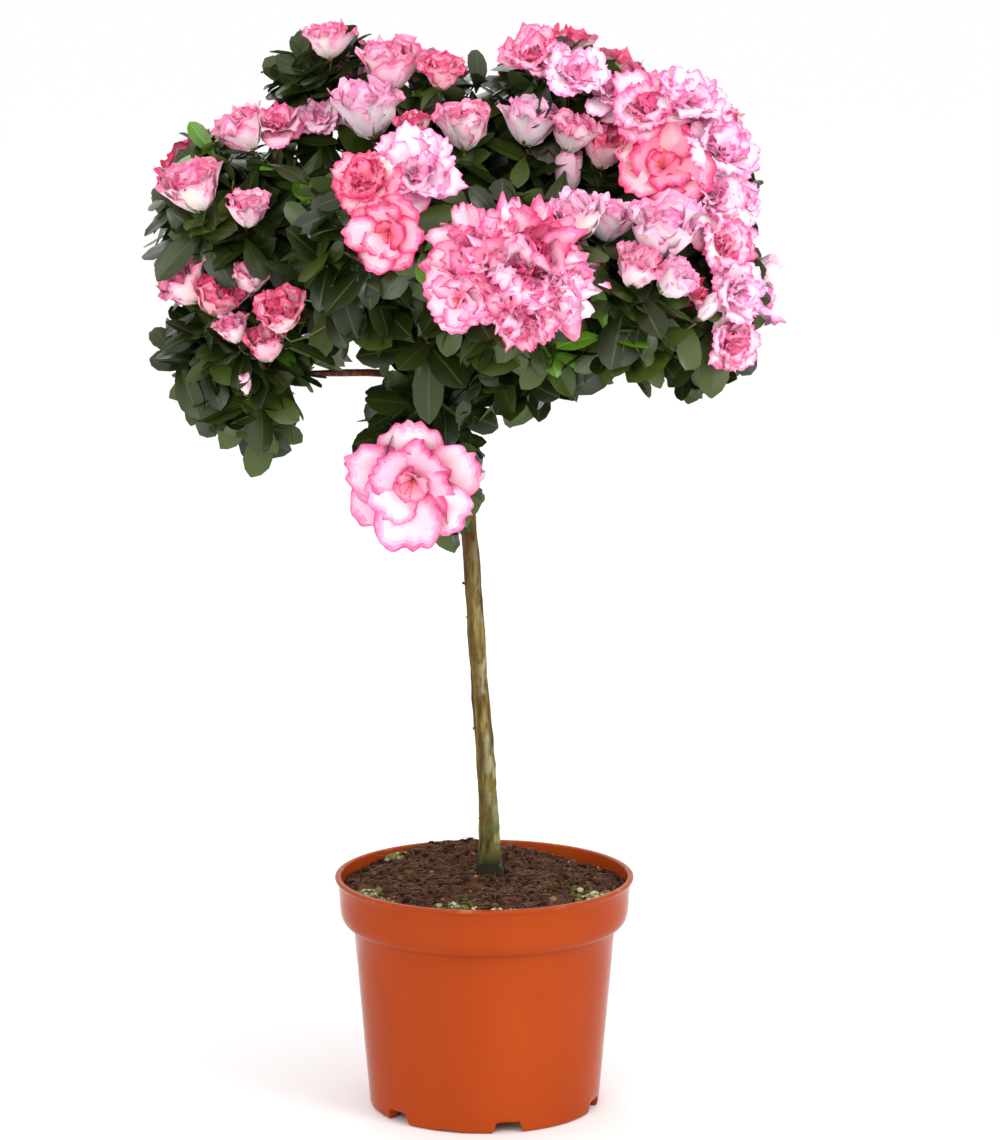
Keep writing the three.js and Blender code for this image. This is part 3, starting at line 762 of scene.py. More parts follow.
# %% Petal grids
PETAL_FAMILIES = {  # rim, beside the rim, middle, inside, foot
    "rose": ("e44a86", "f37dab", "fcaccb", "ffd6e5", "fff1e8"),
    "lilac": ("ee6cac", "fba2cd", "ffcbe4", "ffe4f1", "fff7f4"),
    "deep": ("d61f58", "e84c7e", "f580a5", "fcb6ca", "ffe6da"),
}
FAMILY_NAMES = list(PETAL_FAMILIES)
TONES = 11


def between(codes, share):
    """A screen colour somewhere along a row of screen colours."""
    place = share * (len(codes) - 1)
    first = min(int(place), len(codes) - 2)
    mixed = [round((1 - place + first) * int(codes[first][i:i + 2], 16)
                   + (place - first) * int(codes[first + 1][i:i + 2], 16)) for i in (0, 2, 4)]
    return "".join(f"{channel:02x}" for channel in mixed)


petal_finishes = [plain(f"petal_{family}_{tone}", between(codes, tone / (TONES - 1)), 0.6,
                        Specular_IOR_Level=0.2, Sheen_Weight=0.12, Sheen_Roughness=0.5)
                  for family, codes in PETAL_FAMILIES.items() for tone in range(TONES)]


def petal_grid(petal, rows, columns):
    """Points and tones of many petals. petal is a table with one row for each, by column name."""
    col = {key: np.array([row[key] for row in petal])[:, None, None] for key in petal[0]
           if key not in ("base", "axis")}
    base = np.array([row["base"] for row in petal])
    axis = unit(np.array([row["axis"] for row in petal]))
    ahead = square_to(axis, np.where(np.abs(axis[:, :1]) > 0.8, [[0.1, 1, 0]], [[1, 0.1, 0]]))
    beside = np.cross(axis, ahead)
    around = col["around"][:, 0]
    radial = np.cos(around) * ahead + np.sin(around) * beside
    tangent = np.cross(axis, radial)
    s = 1 - (1 - np.linspace(0, 1, rows)) ** 1.25
    u = np.sin(np.linspace(-1, 1, columns) * math.pi / 2)
    S, U = np.meshgrid(s, u, indexing="ij")
    S, U = S[None], U[None]
    opening = col["start"] + (col["end"] - col["start"]) * S + col["curl"] * S ** 5
    line = opening[:, :, 0]
    step = np.diff(s)[None]
    half = (line[:, 1:] + line[:, :-1]) / 2
    length = col["length"]
    none = np.zeros((len(petal), 1))
    reach = np.concatenate([none, np.cumsum(np.sin(half) * step, axis=1)], 1)[:, :, None] * length
    rise = np.concatenate([none, np.cumsum(np.cos(half) * step, axis=1)], 1)[:, :, None] * length
    swell = 0.15 + 0.85 * np.sin(np.minimum(1, S / 0.64) * math.pi / 2) ** 1.15
    waist = col["width"] * swell * (1 - 0.25 * np.maximum(0, (S - 0.64) / 0.36) ** 2)
    turn = U * waist / col["wrap"]
    across = col["wrap"] * np.sin(turn)
    lift = col["wrap"] * (1 - np.cos(turn))
    near_rim = np.maximum(np.abs(U) ** 3 * np.minimum(1, S * 2.2), S ** 4)
    rim_turn = np.arctan2(U * col["width"], (S - 0.35) * length)
    beat = col["crimps"] * rim_turn
    p = [col[f"phase{i}"] for i in range(4)]
    sway = S ** 1.5 * np.sin(2.9 * U + p[0]) + 0.5 * S * U * np.sin(5 * S + p[1])
    crimp = np.sin(beat + p[2]) + 0.45 * np.sin(2.3 * beat + p[3])
    lift = lift + col["ruffle"] * length * sway
    lift = lift + col["frill"] * length * near_rim * crimp
    along = length * (0.03 * near_rim * np.sin(1.7 * beat + p[1]) - 0.15 * U ** 2 * S ** 2)
    sin_o, cos_o = np.sin(opening), np.cos(opening)
    outwards = reach + along * sin_o - lift * cos_o
    upwards = rise + along * cos_o + lift * sin_o
    points = (base[:, None, None] + outwards[..., None] * radial[:, None, None]
              + upwards[..., None] * axis[:, None, None] + across[..., None] * tangent[:, None, None])
    s_mid, u_mid = (S[:, 1:] + S[:, :-1])[..., 1:] / 2, (U[..., 1:] + U[..., :-1])[:, 1:] / 2
    mid_waist = (waist[:, 1:, 1:] + waist[:, :-1, :-1]) / 2
    to_rim = np.minimum((1 - np.abs(u_mid)) * mid_waist, (1 - s_mid) * length) / col["width"]
    inwards = to_rim + 0.04 * np.sin(0.6 * beat[:, 1:, 1:] + p[0]) + dice.normal(0, 0.028, to_rim.shape)
    # tint_and_shade holds a random tone, a painted-light amend for each kind, and painted shade that deepens
    # inner whorls
    share = 0.8 * np.clip((inwards + 0.02) / 0.42, 0, 1) ** 0.62 + col["tint_and_shade"]
    share = np.maximum(share, np.clip(1.25 - s_mid / col["pale_foot"], 0, 1))
    tone = np.clip(np.round(share * (TONES - 1)), 0, TONES - 1).astype(int)
    family = np.broadcast_to(col["family"], tone.shape)
    # painted shade: the feet of some inner petals turn deep pink, standing in for the shade in a flower's
    # heart
    heart_shade = 1.5 * col["heart_shade"] * np.clip(1 - s_mid / 0.6, 0, 1) * (1 - u_mid ** 2)
    heart_shade = heart_shade + dice.normal(0, 0.08, tone.shape)
    heart_shade_tone = np.clip(np.round((1 - heart_shade) * (TONES - 1)), 1, TONES - 1).astype(int)
    number = np.where(heart_shade > 0.45, FAMILY_NAMES.index("deep") * TONES + np.minimum(heart_shade_tone, tone),
                      family * TONES + tone)
    return points.reshape(-1, 3), grid_faces(len(petal), rows, columns), number.reshape(-1)


# %% [markdown]
# ## Kinds of flower
# Flowers on one azalea are at every stage. A great head and a double are rosettes of four whorls, and
# an open flower shows three. A half open one is a barrel of upright petals with a crimped mouth, like a
# small rose. A tight bud is a pointed drop in scales. Each kind is a short list of whorls, from the
# outside in.

# %% Whorls
WHORLS = {  # petals, opening at foot and tip, length, half width, wrap, ruffle, frill, tip curl
    "head": [(8, 36, 92, 1.00, 0.38, 1.30, 0.12, 0.060, 20), (8, 30, 76, 0.94, 0.34, 0.90, 0.16, 0.08, 24),
             (8, 20, 54, 0.86, 0.30, 0.60, 0.18, 0.10, 26), (7, 10, 30, 0.74, 0.26, 0.45, 0.20, 0.12, 26)],
    "double": [(7, 34, 90, 1.00, 0.44, 1.60, 0.07, 0.045, 22), (7, 26, 70, 0.90, 0.42, 1.20, 0.10, 0.06, 26),
               (6, 16, 46, 0.76, 0.38, 0.80, 0.13, 0.08, 30), (5, 8, 22, 0.60, 0.32, 0.55, 0.16, 0.10, 30)],
    "open": [(6, 52, 96, 1.00, 0.46, 2.00, 0.09, 0.030, 8), (5, 40, 78, 0.80, 0.40, 1.10, 0.12, 0.050, 16),
             (3, 24, 48, 0.44, 0.25, 0.80, 0.12, 0.07, 20)],
    "half": [(5, 62, -6, 1.00, 0.46, 0.46, 0.04, 0.045, 58), (5, 50, -4, 0.98, 0.40, 0.40, 0.08, 0.07, 46),
             (4, 34, 0, 0.94, 0.34, 0.32, 0.12, 0.09, 36), (3, 16, 4, 0.88, 0.26, 0.26, 0.14, 0.10, 24)],
    "tight": [(4, 40, -18, 1.00, 0.34, 0.26, 0.02, 0.02, 4), (3, 24, -10, 0.96, 0.24, 0.18, 0.04, 0.03, 8)],
}
LENGTH_OF_WIDTH = {"head": 0.62, "double": 0.60, "open": 0.57, "half": 1.02, "tight": 1.9}
MIDDLE_OF_LENGTH = {"head": 0.40, "double": 0.34, "open": 0.22, "half": 0.46, "tight": 0.5}
CRIMPS = {"head": 13, "double": 12, "open": 8, "half": 10, "tight": 4}
PALE_FOOT = {"head": 0.30, "double": 0.28, "open": 0.16, "half": 0.80, "tight": 0.75}
# painted light: half-open and tight buds, which sit in shade, are painted paler; heads, doubles and open
# flowers in the front light deeper
TINT_AND_LIGHT = {"head": -0.07, "double": -0.05, "open": -0.08, "half": 0.06, "tight": 0.05}
UNEVEN = {"head": 4.0, "double": 2.3, "open": 1.7, "half": 1.0, "tight": 0.4}
# painted shade in the heart of each kind of flower
HEART_SHADE = {"head": 1.0, "double": 0.9, "open": 0.5, "half": 0.7, "tight": 0.0}


def flower(kind, family, middle, axis, width):
    """The petals of one flower round its middle, as rows for petal_grid, and the place of its foot."""
    length = LENGTH_OF_WIDTH[kind] * width
    foot_at = middle - axis * MIDDLE_OF_LENGTH[kind] * length
    rows = []
    spin = dice.uniform(0, 2 * math.pi)
    uneven = UNEVEN[kind]
    for whorl, (count, start, end, long, wide, wrap, ruffle, frill, curl) in enumerate(WHORLS[kind]):
        for number in range(count):
            row = {
                "base": foot_at, "axis": axis + dice.normal(0, 0.05 * uneven, 3),
                "around": spin + whorl * 0.45 + (number + dice.uniform(-0.16, 0.16)) / count * 2 * math.pi,
                "start": math.radians(start + dice.normal(0, 4 * uneven)),
                "end": math.radians(end + dice.normal(0, 7 * uneven)),
                "curl": math.radians(curl * dice.uniform(0.3, 1.7)),
                "length": length * long * dice.uniform(0.88, 1.10),
                "width": length * wide * dice.uniform(0.88, 1.14),
                "wrap": length * wrap, "ruffle": ruffle * dice.uniform(0.6, 1.4),
                "frill": frill * dice.uniform(0.7, 1.4), "crimps": CRIMPS[kind] * dice.uniform(0.8, 1.25),
                # inner whorls are painted deeper pink: painted shade in the depths of the flower
                "tint_and_shade": dice.normal(TINT_AND_LIGHT[kind] - 0.07 * whorl, 0.08), "family": FAMILY_NAMES.index(family),
                "pale_foot": PALE_FOOT[kind] * (1.0 if whorl == 0 else 0.4),
                "heart_shade": dice.uniform(0.5, 1.0) * HEART_SHADE[kind] if whorl > 0 and dice.random() < 0.4 else 0,
            }
            row.update({f"phase{i}": dice.uniform(0, 2 * math.pi) for i in range(4)})
            rows.append(row)
    return rows, foot_at


print("flower kinds:", {kind: sum(whorl[0] for whorl in whorls) for kind, whorls in WHORLS.items()})

# %% [markdown]
# ## Where the flowers sit
# The side that faces the viewer carries the flowers this plant is known by: the great double head
# low in the middle, the single wide flower hanging by the trunk, a crowd of lilac ones on the right
# and small half-open ones on the left. They come from a list of how far across and how high each one
# shows. How deep each sits follows from the frame: a line from the camera stops on the crown's skin.
# The other sides are strewn by a seeded rule with the same habit, thick on the right, thin on the left.

# %% Flowers on the side that faces the viewer
FRONT_FLOWERS = [  # kind, family, across and height in mm, width in mm, lean to the side, lean up
    ("open", "rose", -41, 360, 68, -0.12, -0.18),
    ("head", "rose", 26, 487, 66, 0.15, 0.25), ("head", "rose", -4, 492, 50, -0.30, 0.35),
    ("open", "rose", -15, 466, 38, -0.55, -0.20), ("head", "lilac", 12, 473, 58, -0.10, -0.20),
    ("head", "rose", 22, 457, 46, 0.00, -0.50), ("head", "lilac", 39, 470, 42, 0.50, -0.10),
    ("double", "lilac", -38, 536, 48, 0.15, 0.40), ("double", "deep", -66, 531, 36, -0.25, 0.50),
    ("open", "deep", -54, 502, 42, -0.15, -0.25), ("half", "lilac", -64, 569, 33, -0.05, 0.9),
    ("half", "deep", -38, 561, 17, 0.05, 0.8), ("half", "rose", -134, 558, 25, -0.35, 0.7),
    ("double", "rose", -114, 562, 30, -0.10, 0.9), ("double", "lilac", -90, 564, 30, 0.10, 0.9),
    ("half", "rose", -161, 526, 29, -0.10, 0.9), ("half", "rose", -132, 514, 21, 0.25, 0.8),
    ("half", "rose", -166, 472, 26, -0.35, 0.7), ("half", "deep", -149, 465, 25, 0.35, 0.5),
    ("half", "rose", -130, 476, 18, 0.25, 0.8), ("half", "deep", -114, 456, 24, 0.10, 0.6),
    ("half", "deep", -122, 439, 23, 0.10, 0.7), ("half", "rose", -141, 447, 17, -0.10, 0.8),
    ("half", "rose", -86, 608, 22, 0.00, 1.2), ("half", "rose", -52, 594, 30, 0.00, 1.0),
    ("half", "deep", -23, 590, 20, 0.20, 0.9), ("half", "rose", -11, 560, 27, 0.00, 1.0),
    ("half", "lilac", 26, 562, 27, 0.10, 0.8), ("half", "rose", 49, 557, 23, 0.05, 0.8),
    ("tight", "rose", 47, 536, 15, -0.05, 0.8), ("half", "deep", 67, 549, 26, 0.00, 0.8),
    ("double", "rose", 28, 600, 38, -0.15, 0.9), ("double", "lilac", 50, 590, 38, 0.25, 0.9),
    ("double", "lilac", 70, 580, 30, 0.40, 0.9), ("double", "rose", 90, 572, 46, -0.10, 0.7),
    ("double", "lilac", 114, 574, 42, 0.30, 0.9), ("open", "deep", 100, 540, 58, -0.15, 0.35),
    ("double", "lilac", 132, 548, 44, 0.60, 0.5), ("double", "lilac", 128, 522, 40, 0.45, 0.15),
    ("double", "lilac", 143, 520, 28, 0.90, 0.3), ("half", "lilac", 53, 510, 26, -0.20, 0.8),
    ("half", "lilac", 70, 508, 25, 0.15, 0.8), ("half", "lilac", 99, 502, 34, -0.05, 0.8),
    ("half", "rose", 86, 481, 25, 0.15, 0.8), ("half", "lilac", 106, 475, 22, 0.60, 0.7),
    ("tight", "lilac", 125, 459, 9, 0.40, 0.8), ("tight", "rose", -134, 417, 8, 0.10, 0.8),
    ("double", "rose", 134, 496, 38, 0.30, 0.1),
    ("double", "lilac", 142, 468, 36, 0.75, 0.0), ("double", "rose", 139, 440, 34, 0.60, -0.3),
]
CROWN_MIDDLE = np.array([-0.005, 0.010, 0.490])
camera_at = np.array(CAMERA_PLACE)


def on_skin(across, height, width=0.0):
    """The place on a line of sight where something this wide comes to rest on the crown's skin."""
    heading = unit(np.array([across * MM, 0, height * MM]) - camera_at)
    reach = []
    for side, up in ((0, 0), (1, 0), (-1, 0), (0, 1), (0, -1)):
        aim = np.array([across * MM, 0, height * MM]) + np.array([side, 0, up]) * 0.4 * width
        distance = crown_tree.ray_cast(Vector(camera_at), Vector(unit(aim - camera_at)))[3]
        if distance is not None:
            reach.append(distance)
    if reach:
        return camera_at + heading * min(reach)
    near = crown_tree.find_nearest(Vector((across * MM, 0, height * MM)))[0]
    return np.array(near)


flowers = []  # kind, family, middle, axis, width
for kind, family, across, height, width, side, up in FRONT_FLOWERS:
    place = on_skin(across, height, width * MM)
    toward = unit(camera_at - place)
    outward = unit(place - CROWN_MIDDLE)
    share = 0.16 if kind in ("half", "tight") else 0.9
    axis = unit(share * toward + 0.25 * outward + [side, 0, up])
    sunk = 3 * MM + 0.10 * width * MM
    flowers.append((kind, family, place - toward * sunk, axis, width * MM))
listed = len(flowers)
print(listed, "flowers from the list")


# %% Dart throwing on the crown's skin
def scatter(spacing, tries, sink):
    """Evenly spread places on the masses' open skin, by throwing darts and keeping the free ones."""
    corners, facing, owner = [], [], []
    for name in MASSES:
        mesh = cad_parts[name].data
        mesh.calc_loop_triangles()
        for face in mesh.loop_triangles:
            corners.append([mesh.vertices[i].co[:] for i in face.vertices])
            facing.append(face.normal[:])
            owner.append(name)
    corners, facing = np.array(corners), np.array(facing)
    area = np.linalg.norm(np.cross(corners[:, 1] - corners[:, 0], corners[:, 2] - corners[:, 0]), axis=1)
    picks = dice.choice(len(area), tries, p=area / area.sum())
    mix = dice.dirichlet((1, 1, 1), tries)
    places = (corners[picks] * mix[:, :, None]).sum(1)
    kept = []
    for number, (pick, place) in enumerate(zip(picks, places)):
        if kept and np.linalg.norm(places[kept] - place, axis=1).min() < spacing:
            continue
        if not inside_crown(place + facing[pick] * 5 * MM, owner[pick]):
            kept.append(number)
    return places[kept] - facing[picks[kept]] * sink, facing[picks[kept]], [owner[picks[i]] for i in kept]


def inside_crown(place, own):
    place = Vector(place)
    for name, tree in mass_trees.items():
        near, normal = tree.find_nearest(place)[:2]
        if name != own and (place - near).dot(normal) < 0:
            return True
    return False


skin_places, skin_facing, _ = scatter(31 * MM, 5000, 3 * MM)
for place, facing in zip(skin_places, skin_facing):
    toward = unit(camera_at - place)
    if facing @ toward > 0.08 or (place[0] < -0.03 and abs(facing[1]) < 0.5):
        continue
    chance = 0.32 + 0.55 * np.clip(place[0] / 0.15 + 0.35, 0, 1) + 0.30 * max(0, facing[2] - 0.2)
    if facing[2] < -0.35 or dice.random() > chance:
        continue
    lilac = dice.random() < 0.3 + 2.5 * place[0]
    kind = str(dice.choice(["double", "open", "half", "tight"], p=(0.42, 0.10, 0.40, 0.08)))
    width = {"double": 44, "open": 50, "half": 26, "tight": 13}[kind] * dice.uniform(0.8, 1.2) * MM
    if min(np.linalg.norm(place - m) - 0.34 * (w + width) for _, _, m, _, w in flowers) < 0:
        continue
    lift = 0.3 if kind in ("double", "open") else 0.9
    axis = unit(facing + [0, 0, lift] + dice.normal(0, 0.15, 3))
    family = "lilac" if lilac else str(dice.choice(["rose", "deep"], p=(0.7, 0.3)))
    flowers.append((kind, family, place - facing * 0.22 * width, axis, width))
print(len(flowers), "flowers in all")

# %% Petals of every flower
WIDE_FLOWER = 43 * MM
PETAL_GRIDS = {"wide": (15, 25), "small": (9, 17), "strewn": (7, 13)}
petal_rows = {name: [] for name in PETAL_GRIDS}
flower_feet = []
for number, (kind, family, middle, axis, width) in enumerate(flowers):
    rows, foot_at = flower(kind, family, middle, axis, width)
    grid_name = "strewn" if number >= listed else "wide" if width > WIDE_FLOWER else "small"
    petal_rows[grid_name] += rows
    flower_feet.append(foot_at)
MOST_TRIANGLES = 195000
for grid_name, table in petal_rows.items():
    rows, columns = PETAL_GRIDS[grid_name]
    each = 2 * (rows - 1) * (columns - 1)
    share = MOST_TRIANGLES // each
    for first in range(0, len(table), share):
        points, faces, numbers = petal_grid(table[first:first + share], rows, columns)
        name = f"petals_{grid_name}_{first // share + 1}"
        joined_piece(name, points, [(faces, numbers)], petal_finishes)

# %% [markdown]
# ## Stamens, scales and closed buds
# A wide open flower shows a few stamens: curved pink threads with a rusty dot of pollen at the end.
# Half open flowers still sit in a cup of dry brown and green bud scales. Here and there a bud is
# closed, a small drop of scales with a pink tip.

# %% Stamens
THREAD_STATIONS = 6
STAMENS_EACH = 9
stamen_paths, pollen_places = [], []
for (kind, family, middle, axis, width), foot_at in zip(flowers, flower_feet):
    if kind != "open":
        continue
    for _ in range(STAMENS_EACH):
        lean = unit(axis + dice.normal(0, 0.30, 3))
        length = width * dice.uniform(0.16, 0.27)
        bow = dice.normal(0, 0.10, 3) * length
        path = [foot_at + lean * length * t + bow * t * t for t in np.linspace(0.1, 1, THREAD_STATIONS)]
        stamen_paths.append(path)
        pollen_places.append(path[-1])
stamen_paths, pollen_places = np.array(stamen_paths), np.array(pollen_places)
stamen_points, stamen_faces = tubes(stamen_paths, np.full(stamen_paths.shape[:2], 0.32 * MM), 5)
pollen_points, pollen_faces = crumbs(pollen_places, np.full(len(pollen_places), 0.7 * MM), 0.8)
stamen_finishes = [plain("filament", "f0708c", 0.5), plain("pollen", "d8622c", 0.8)]
joined_piece("stamens", np.vstack([stamen_points, pollen_points]),
             [(stamen_faces[0], 0), (stamen_faces[1], 0), (stamen_faces[2], 0),
              (pollen_faces + len(stamen_points), 1)], stamen_finishes)

# %% Bud scales
SCALE_KINDS = {"half": (5, 0.34, 0.16), "tight": (6, 0.42, 0.16), "double": (4, 0.14, 0.08),
               "head": (4, 0.14, 0.08)}
scale_rows = []


def scales(foot_at, axis, width, kind):
    """A cup of scales under a flower: rows for petal_grid. Their length and width are shares of it."""
    count, long, wide = SCALE_KINDS[kind]
    for number in range(count):
        row = {
            "base": foot_at - axis * 0.02 * width, "axis": axis,
            "around": (number + dice.uniform(-0.2, 0.2)) / count * 2 * math.pi,
            "start": math.radians(66), "end": math.radians(dice.uniform(0, 22)), "curl": 0.0,
            "length": width * long * dice.uniform(0.8, 1.3), "width": width * wide * dice.uniform(0.8, 1.2),
            "wrap": width * 0.4, "ruffle": 0.0, "frill": 0.0, "crimps": 1.0,
            "tint_and_shade": dice.uniform(0, 1), "pale_foot": 0.1, "family": 0, "heart_shade": 0,
        }
        row.update({f"phase{i}": dice.uniform(0, 2 * math.pi) for i in range(4)})
        scale_rows.append(row)


for (kind, family, middle, axis, width), foot_at in zip(flowers, flower_feet):
    if kind in SCALE_KINDS:
        scales(foot_at, axis, width, kind)
SCALE_GRID = (6, 5)
scale_points, scale_faces, _ = petal_grid(scale_rows, *SCALE_GRID)
scale_shades = dice.choice(3, len(scale_rows), p=(0.45, 0.3, 0.25))
faces_each = (SCALE_GRID[0] - 1) * (SCALE_GRID[1] - 1)
scale_finishes = [plain("scale_" + shade, code, 0.6) for shade, code in
                  (("brown", "7a4a26"), ("rust", "9a5a34"), ("green", "8a9448"))]
joined_piece("bud_scales", scale_points, [(scale_faces, np.repeat(scale_shades, faces_each))],
             scale_finishes)

# %% [markdown]
# ## Shoots and leaves
# Azalea shoots end in a whorl of leaves. The lower leaves of a whorl are the largest and droop, the
# young ones stand up in the middle. Leaves are obovate: narrow at the stalk, widest past the middle,
# with a short point. Each is a thin folded mesh with a pale midrib strip, glossy on top and dull
# underneath, so that turning leaves catch the light differently.


# %% Leaf meshes
LEAF_SHADES = (("deep", "1e290b"), ("dark", "2c3810"), ("mid", "3f4f1a"), ("young", "52801b"))
leaf_finishes = [plain("leaf_" + shade, code, 0.32, Specular_IOR_Level=0.42) for shade, code in LEAF_SHADES]
leaf_finishes += [plain("leaf_rib", "3a481d", 0.45), plain("leaf_rib_young", "6f9a38", 0.45),
                  plain("leaf_back", "4a5a28", 0.7), plain("leaf_back_young", "7f9f45", 0.65)]
RIB, RIB_YOUNG, BACK, BACK_YOUNG = 4, 5, 6, 7
YOUNG = 3
LEAF_ALONG = np.array([0, 0.13, 0.34, 0.57, 0.77, 0.92, 1.0])
LEAF_WIDE = np.array([0.07, 0.23, 0.65, 0.96, 0.95, 0.58, 0.07])
TOP_ACROSS = np.array([-1, -0.52, -0.07, 0.07, 0.52, 1])
BACK_ACROSS = np.array([-1, 0, 1])
LEAF_THICKNESS = 0.25 * MM


def leaf_grid(stalks, headings, uppers, lengths, widths, droops, folds, waves):
    """Top and underside sheets of many leaves, each bent down along its length and folded on its rib."""
    upper = square_to(headings, uppers)
    side = np.cross(headings, upper)
    t = LEAF_ALONG[None, :]
    bend = droops[:, None] * t
    step = np.diff(LEAF_ALONG)[None]
    half = (bend[:, 1:] + bend[:, :-1]) / 2
    none = np.zeros((len(stalks), 1))
    ahead = np.concatenate([none, np.cumsum(np.cos(half) * step, 1)], 1) * lengths[:, None]
    fall = np.concatenate([none, np.cumsum(np.sin(half) * step, 1)], 1) * lengths[:, None]
    wide = LEAF_WIDE[None] * widths[:, None] / 2
    sheets = []
    for across, sink in ((TOP_ACROSS, 0.0), (BACK_ACROSS, LEAF_THICKNESS)):
        out = wide[:, :, None] * across * np.cos(folds)[:, None, None]
        rise = wide[:, :, None] * np.abs(across) * np.sin(folds)[:, None, None]
        rise = rise - 0.9 * (wide[:, :, None] * across) ** 2 / widths[:, None, None] * 0.5
        rise = rise + waves[:, None, None] * widths[:, None, None] * across * np.sin(
            t[:, :, None] * 7 + waves[:, None, None] * 90) * np.abs(across)
        lift = rise - fall[:, :, None] - sink
        sheets.append(stalks[:, None, None] + ahead[:, :, None, None] * headings[:, None, None]
                      + out[..., None] * side[:, None, None] + lift[..., None] * upper[:, None, None])
    return sheets


def leaf_piece(name, leaves, shades):
    """Joins leaves into one piece. leaves is the argument list of leaf_grid."""
    top, back = leaf_grid(*leaves)
    count, rows = top.shape[:2]
    top_faces = grid_faces(count, rows, len(TOP_ACROSS))
    back_faces = grid_faces(count, rows, len(BACK_ACROSS))[:, ::-1] + top.shape[1] * top.shape[2] * count
    strip = np.tile(np.arange(len(TOP_ACROSS) - 1), rows - 1)[None]
    shade = shades[:, None]
    top_numbers = np.where(strip == 2, np.where(shade == YOUNG, RIB_YOUNG, RIB), shade)
    back_numbers = np.repeat(np.where(shades == YOUNG, BACK_YOUNG, BACK), (rows - 1) * 2)
    points = np.vstack([top.reshape(-1, 3), back.reshape(-1, 3)])
    return joined_piece(name, points, [(top_faces, top_numbers.reshape(-1)), (back_faces, back_numbers)],
                        leaf_finishes)


print("leaf:", 2 * (len(LEAF_ALONG) - 1) * (len(TOP_ACROSS) + len(BACK_ACROSS) - 2), "triangles each")

# %% Shoot tips
TIP_SPACING, TIP_SINK = 27 * MM, 18 * MM
tips, tip_facing, tip_mass = scatter(TIP_SPACING, 9000, TIP_SINK)
tip_axes = unit(0.75 * tip_facing + 0.45 * UP + dice.normal(0, 0.22, tips.shape))
INNER_TIPS = 170
inner = dice.choice(len(tips), INNER_TIPS)
inner_places = tips[inner] - tip_facing[inner] * dice.uniform(12, 30, (INNER_TIPS, 1)) * MM
inner_axes = unit(tip_facing[inner] * 0.4 + 0.3 * UP + dice.normal(0, 0.6, (INNER_TIPS, 3)))
shoots = [(tip, axis, mass, 1.0) for tip, axis, mass in zip(tips, tip_axes, tip_mass)]
shoots += [(tip, axis, tip_mass[i], 0.85) for tip, axis, i in zip(inner_places, inner_axes, inner)]


HAND_SPRAYS = [  # across and height in mm, lean to the side, toward the viewer and up, size, young
    (27, 590, -0.6, 0.3, 0.8, 0.95, False), (-2, 588, 0.6, 0.3, 0.8, 0.9, False),
    (-105, 536, -0.1, 0.8, 0.9, 0.95, True), (-34, 491, 0.2, 0.8, 0.1, 0.8, True),
    (123, 506, 0.3, 0.8, 0.5, 0.7, True), (129, 473, 0.3, 0.8, 0.5, 0.7, True),
    (38, 433, 0.4, 0.8, -0.2, 0.85, True), (-154, 550, -0.6, 0.4, 0.7, 0.9, True),
    (-32, 440, -0.2, 0.8, 0.2, 1.25, False), (-22, 404, 0.1, 0.8, 0.1, 1.15, False),
    (-14, 388, 0.5, 0.7, -0.1, 0.8, False), (-12, 352, 0.8, 0.5, -0.1, 0.7, False),
    (-126, 412, -0.1, 0.9, 0.3, 1.0, False), (-160, 503, -0.3, 0.8, 0.3, 1.15, False),
    (129, 448, 0.2, 0.8, 0.2, 1.1, False), (88, 464, 0.0, 0.9, 0.3, 1.1, False),
    (-88, 585, -0.3, 0.5, 0.8, 1.0, False), (-100, 592, -0.7, 0.5, 0.6, 1.0, False),
]


def nearest_mass(place):
    return min(MASSES, key=lambda name: mass_trees[name].find_nearest(Vector(place))[3])


flower_middles = np.array([middle for _, _, middle, _, _ in flowers])
flower_axes = np.array([axis for _, _, _, axis, _ in flowers])
flower_radii = np.array([width / 2 for *_, width in flowers])
in_flower = [(np.linalg.norm(flower_middles - tip, axis=1) < 0.55 * flower_radii).any()
             for tip, *_ in shoots]
shoots = [shoot for shoot, hidden in zip(shoots, in_flower) if not hidden]
flower_shoots = [(foot_at - axis * 2 * MM, axis, nearest_mass(foot_at), 0.9)
                 for foot_at, axis in zip(flower_feet, flower_axes)]
hand_shoots, hand_young = [], []
for across, height, side, forward, up, size, young in HAND_SPRAYS:
    place = on_skin(across, height)
    toward = unit(camera_at - place)
    axis = unit(forward * toward + [side, 0, up])
    hand_shoots.append((place - toward * 8 * MM, axis, nearest_mass(place), size))
    hand_young.append(young)
print(len(shoots), "leafy shoots,", len(hand_shoots), "set by hand,", len(flower_shoots), "flowering")


# %% Whorls of leaves
GOLDEN_TURN = math.radians(137.5)


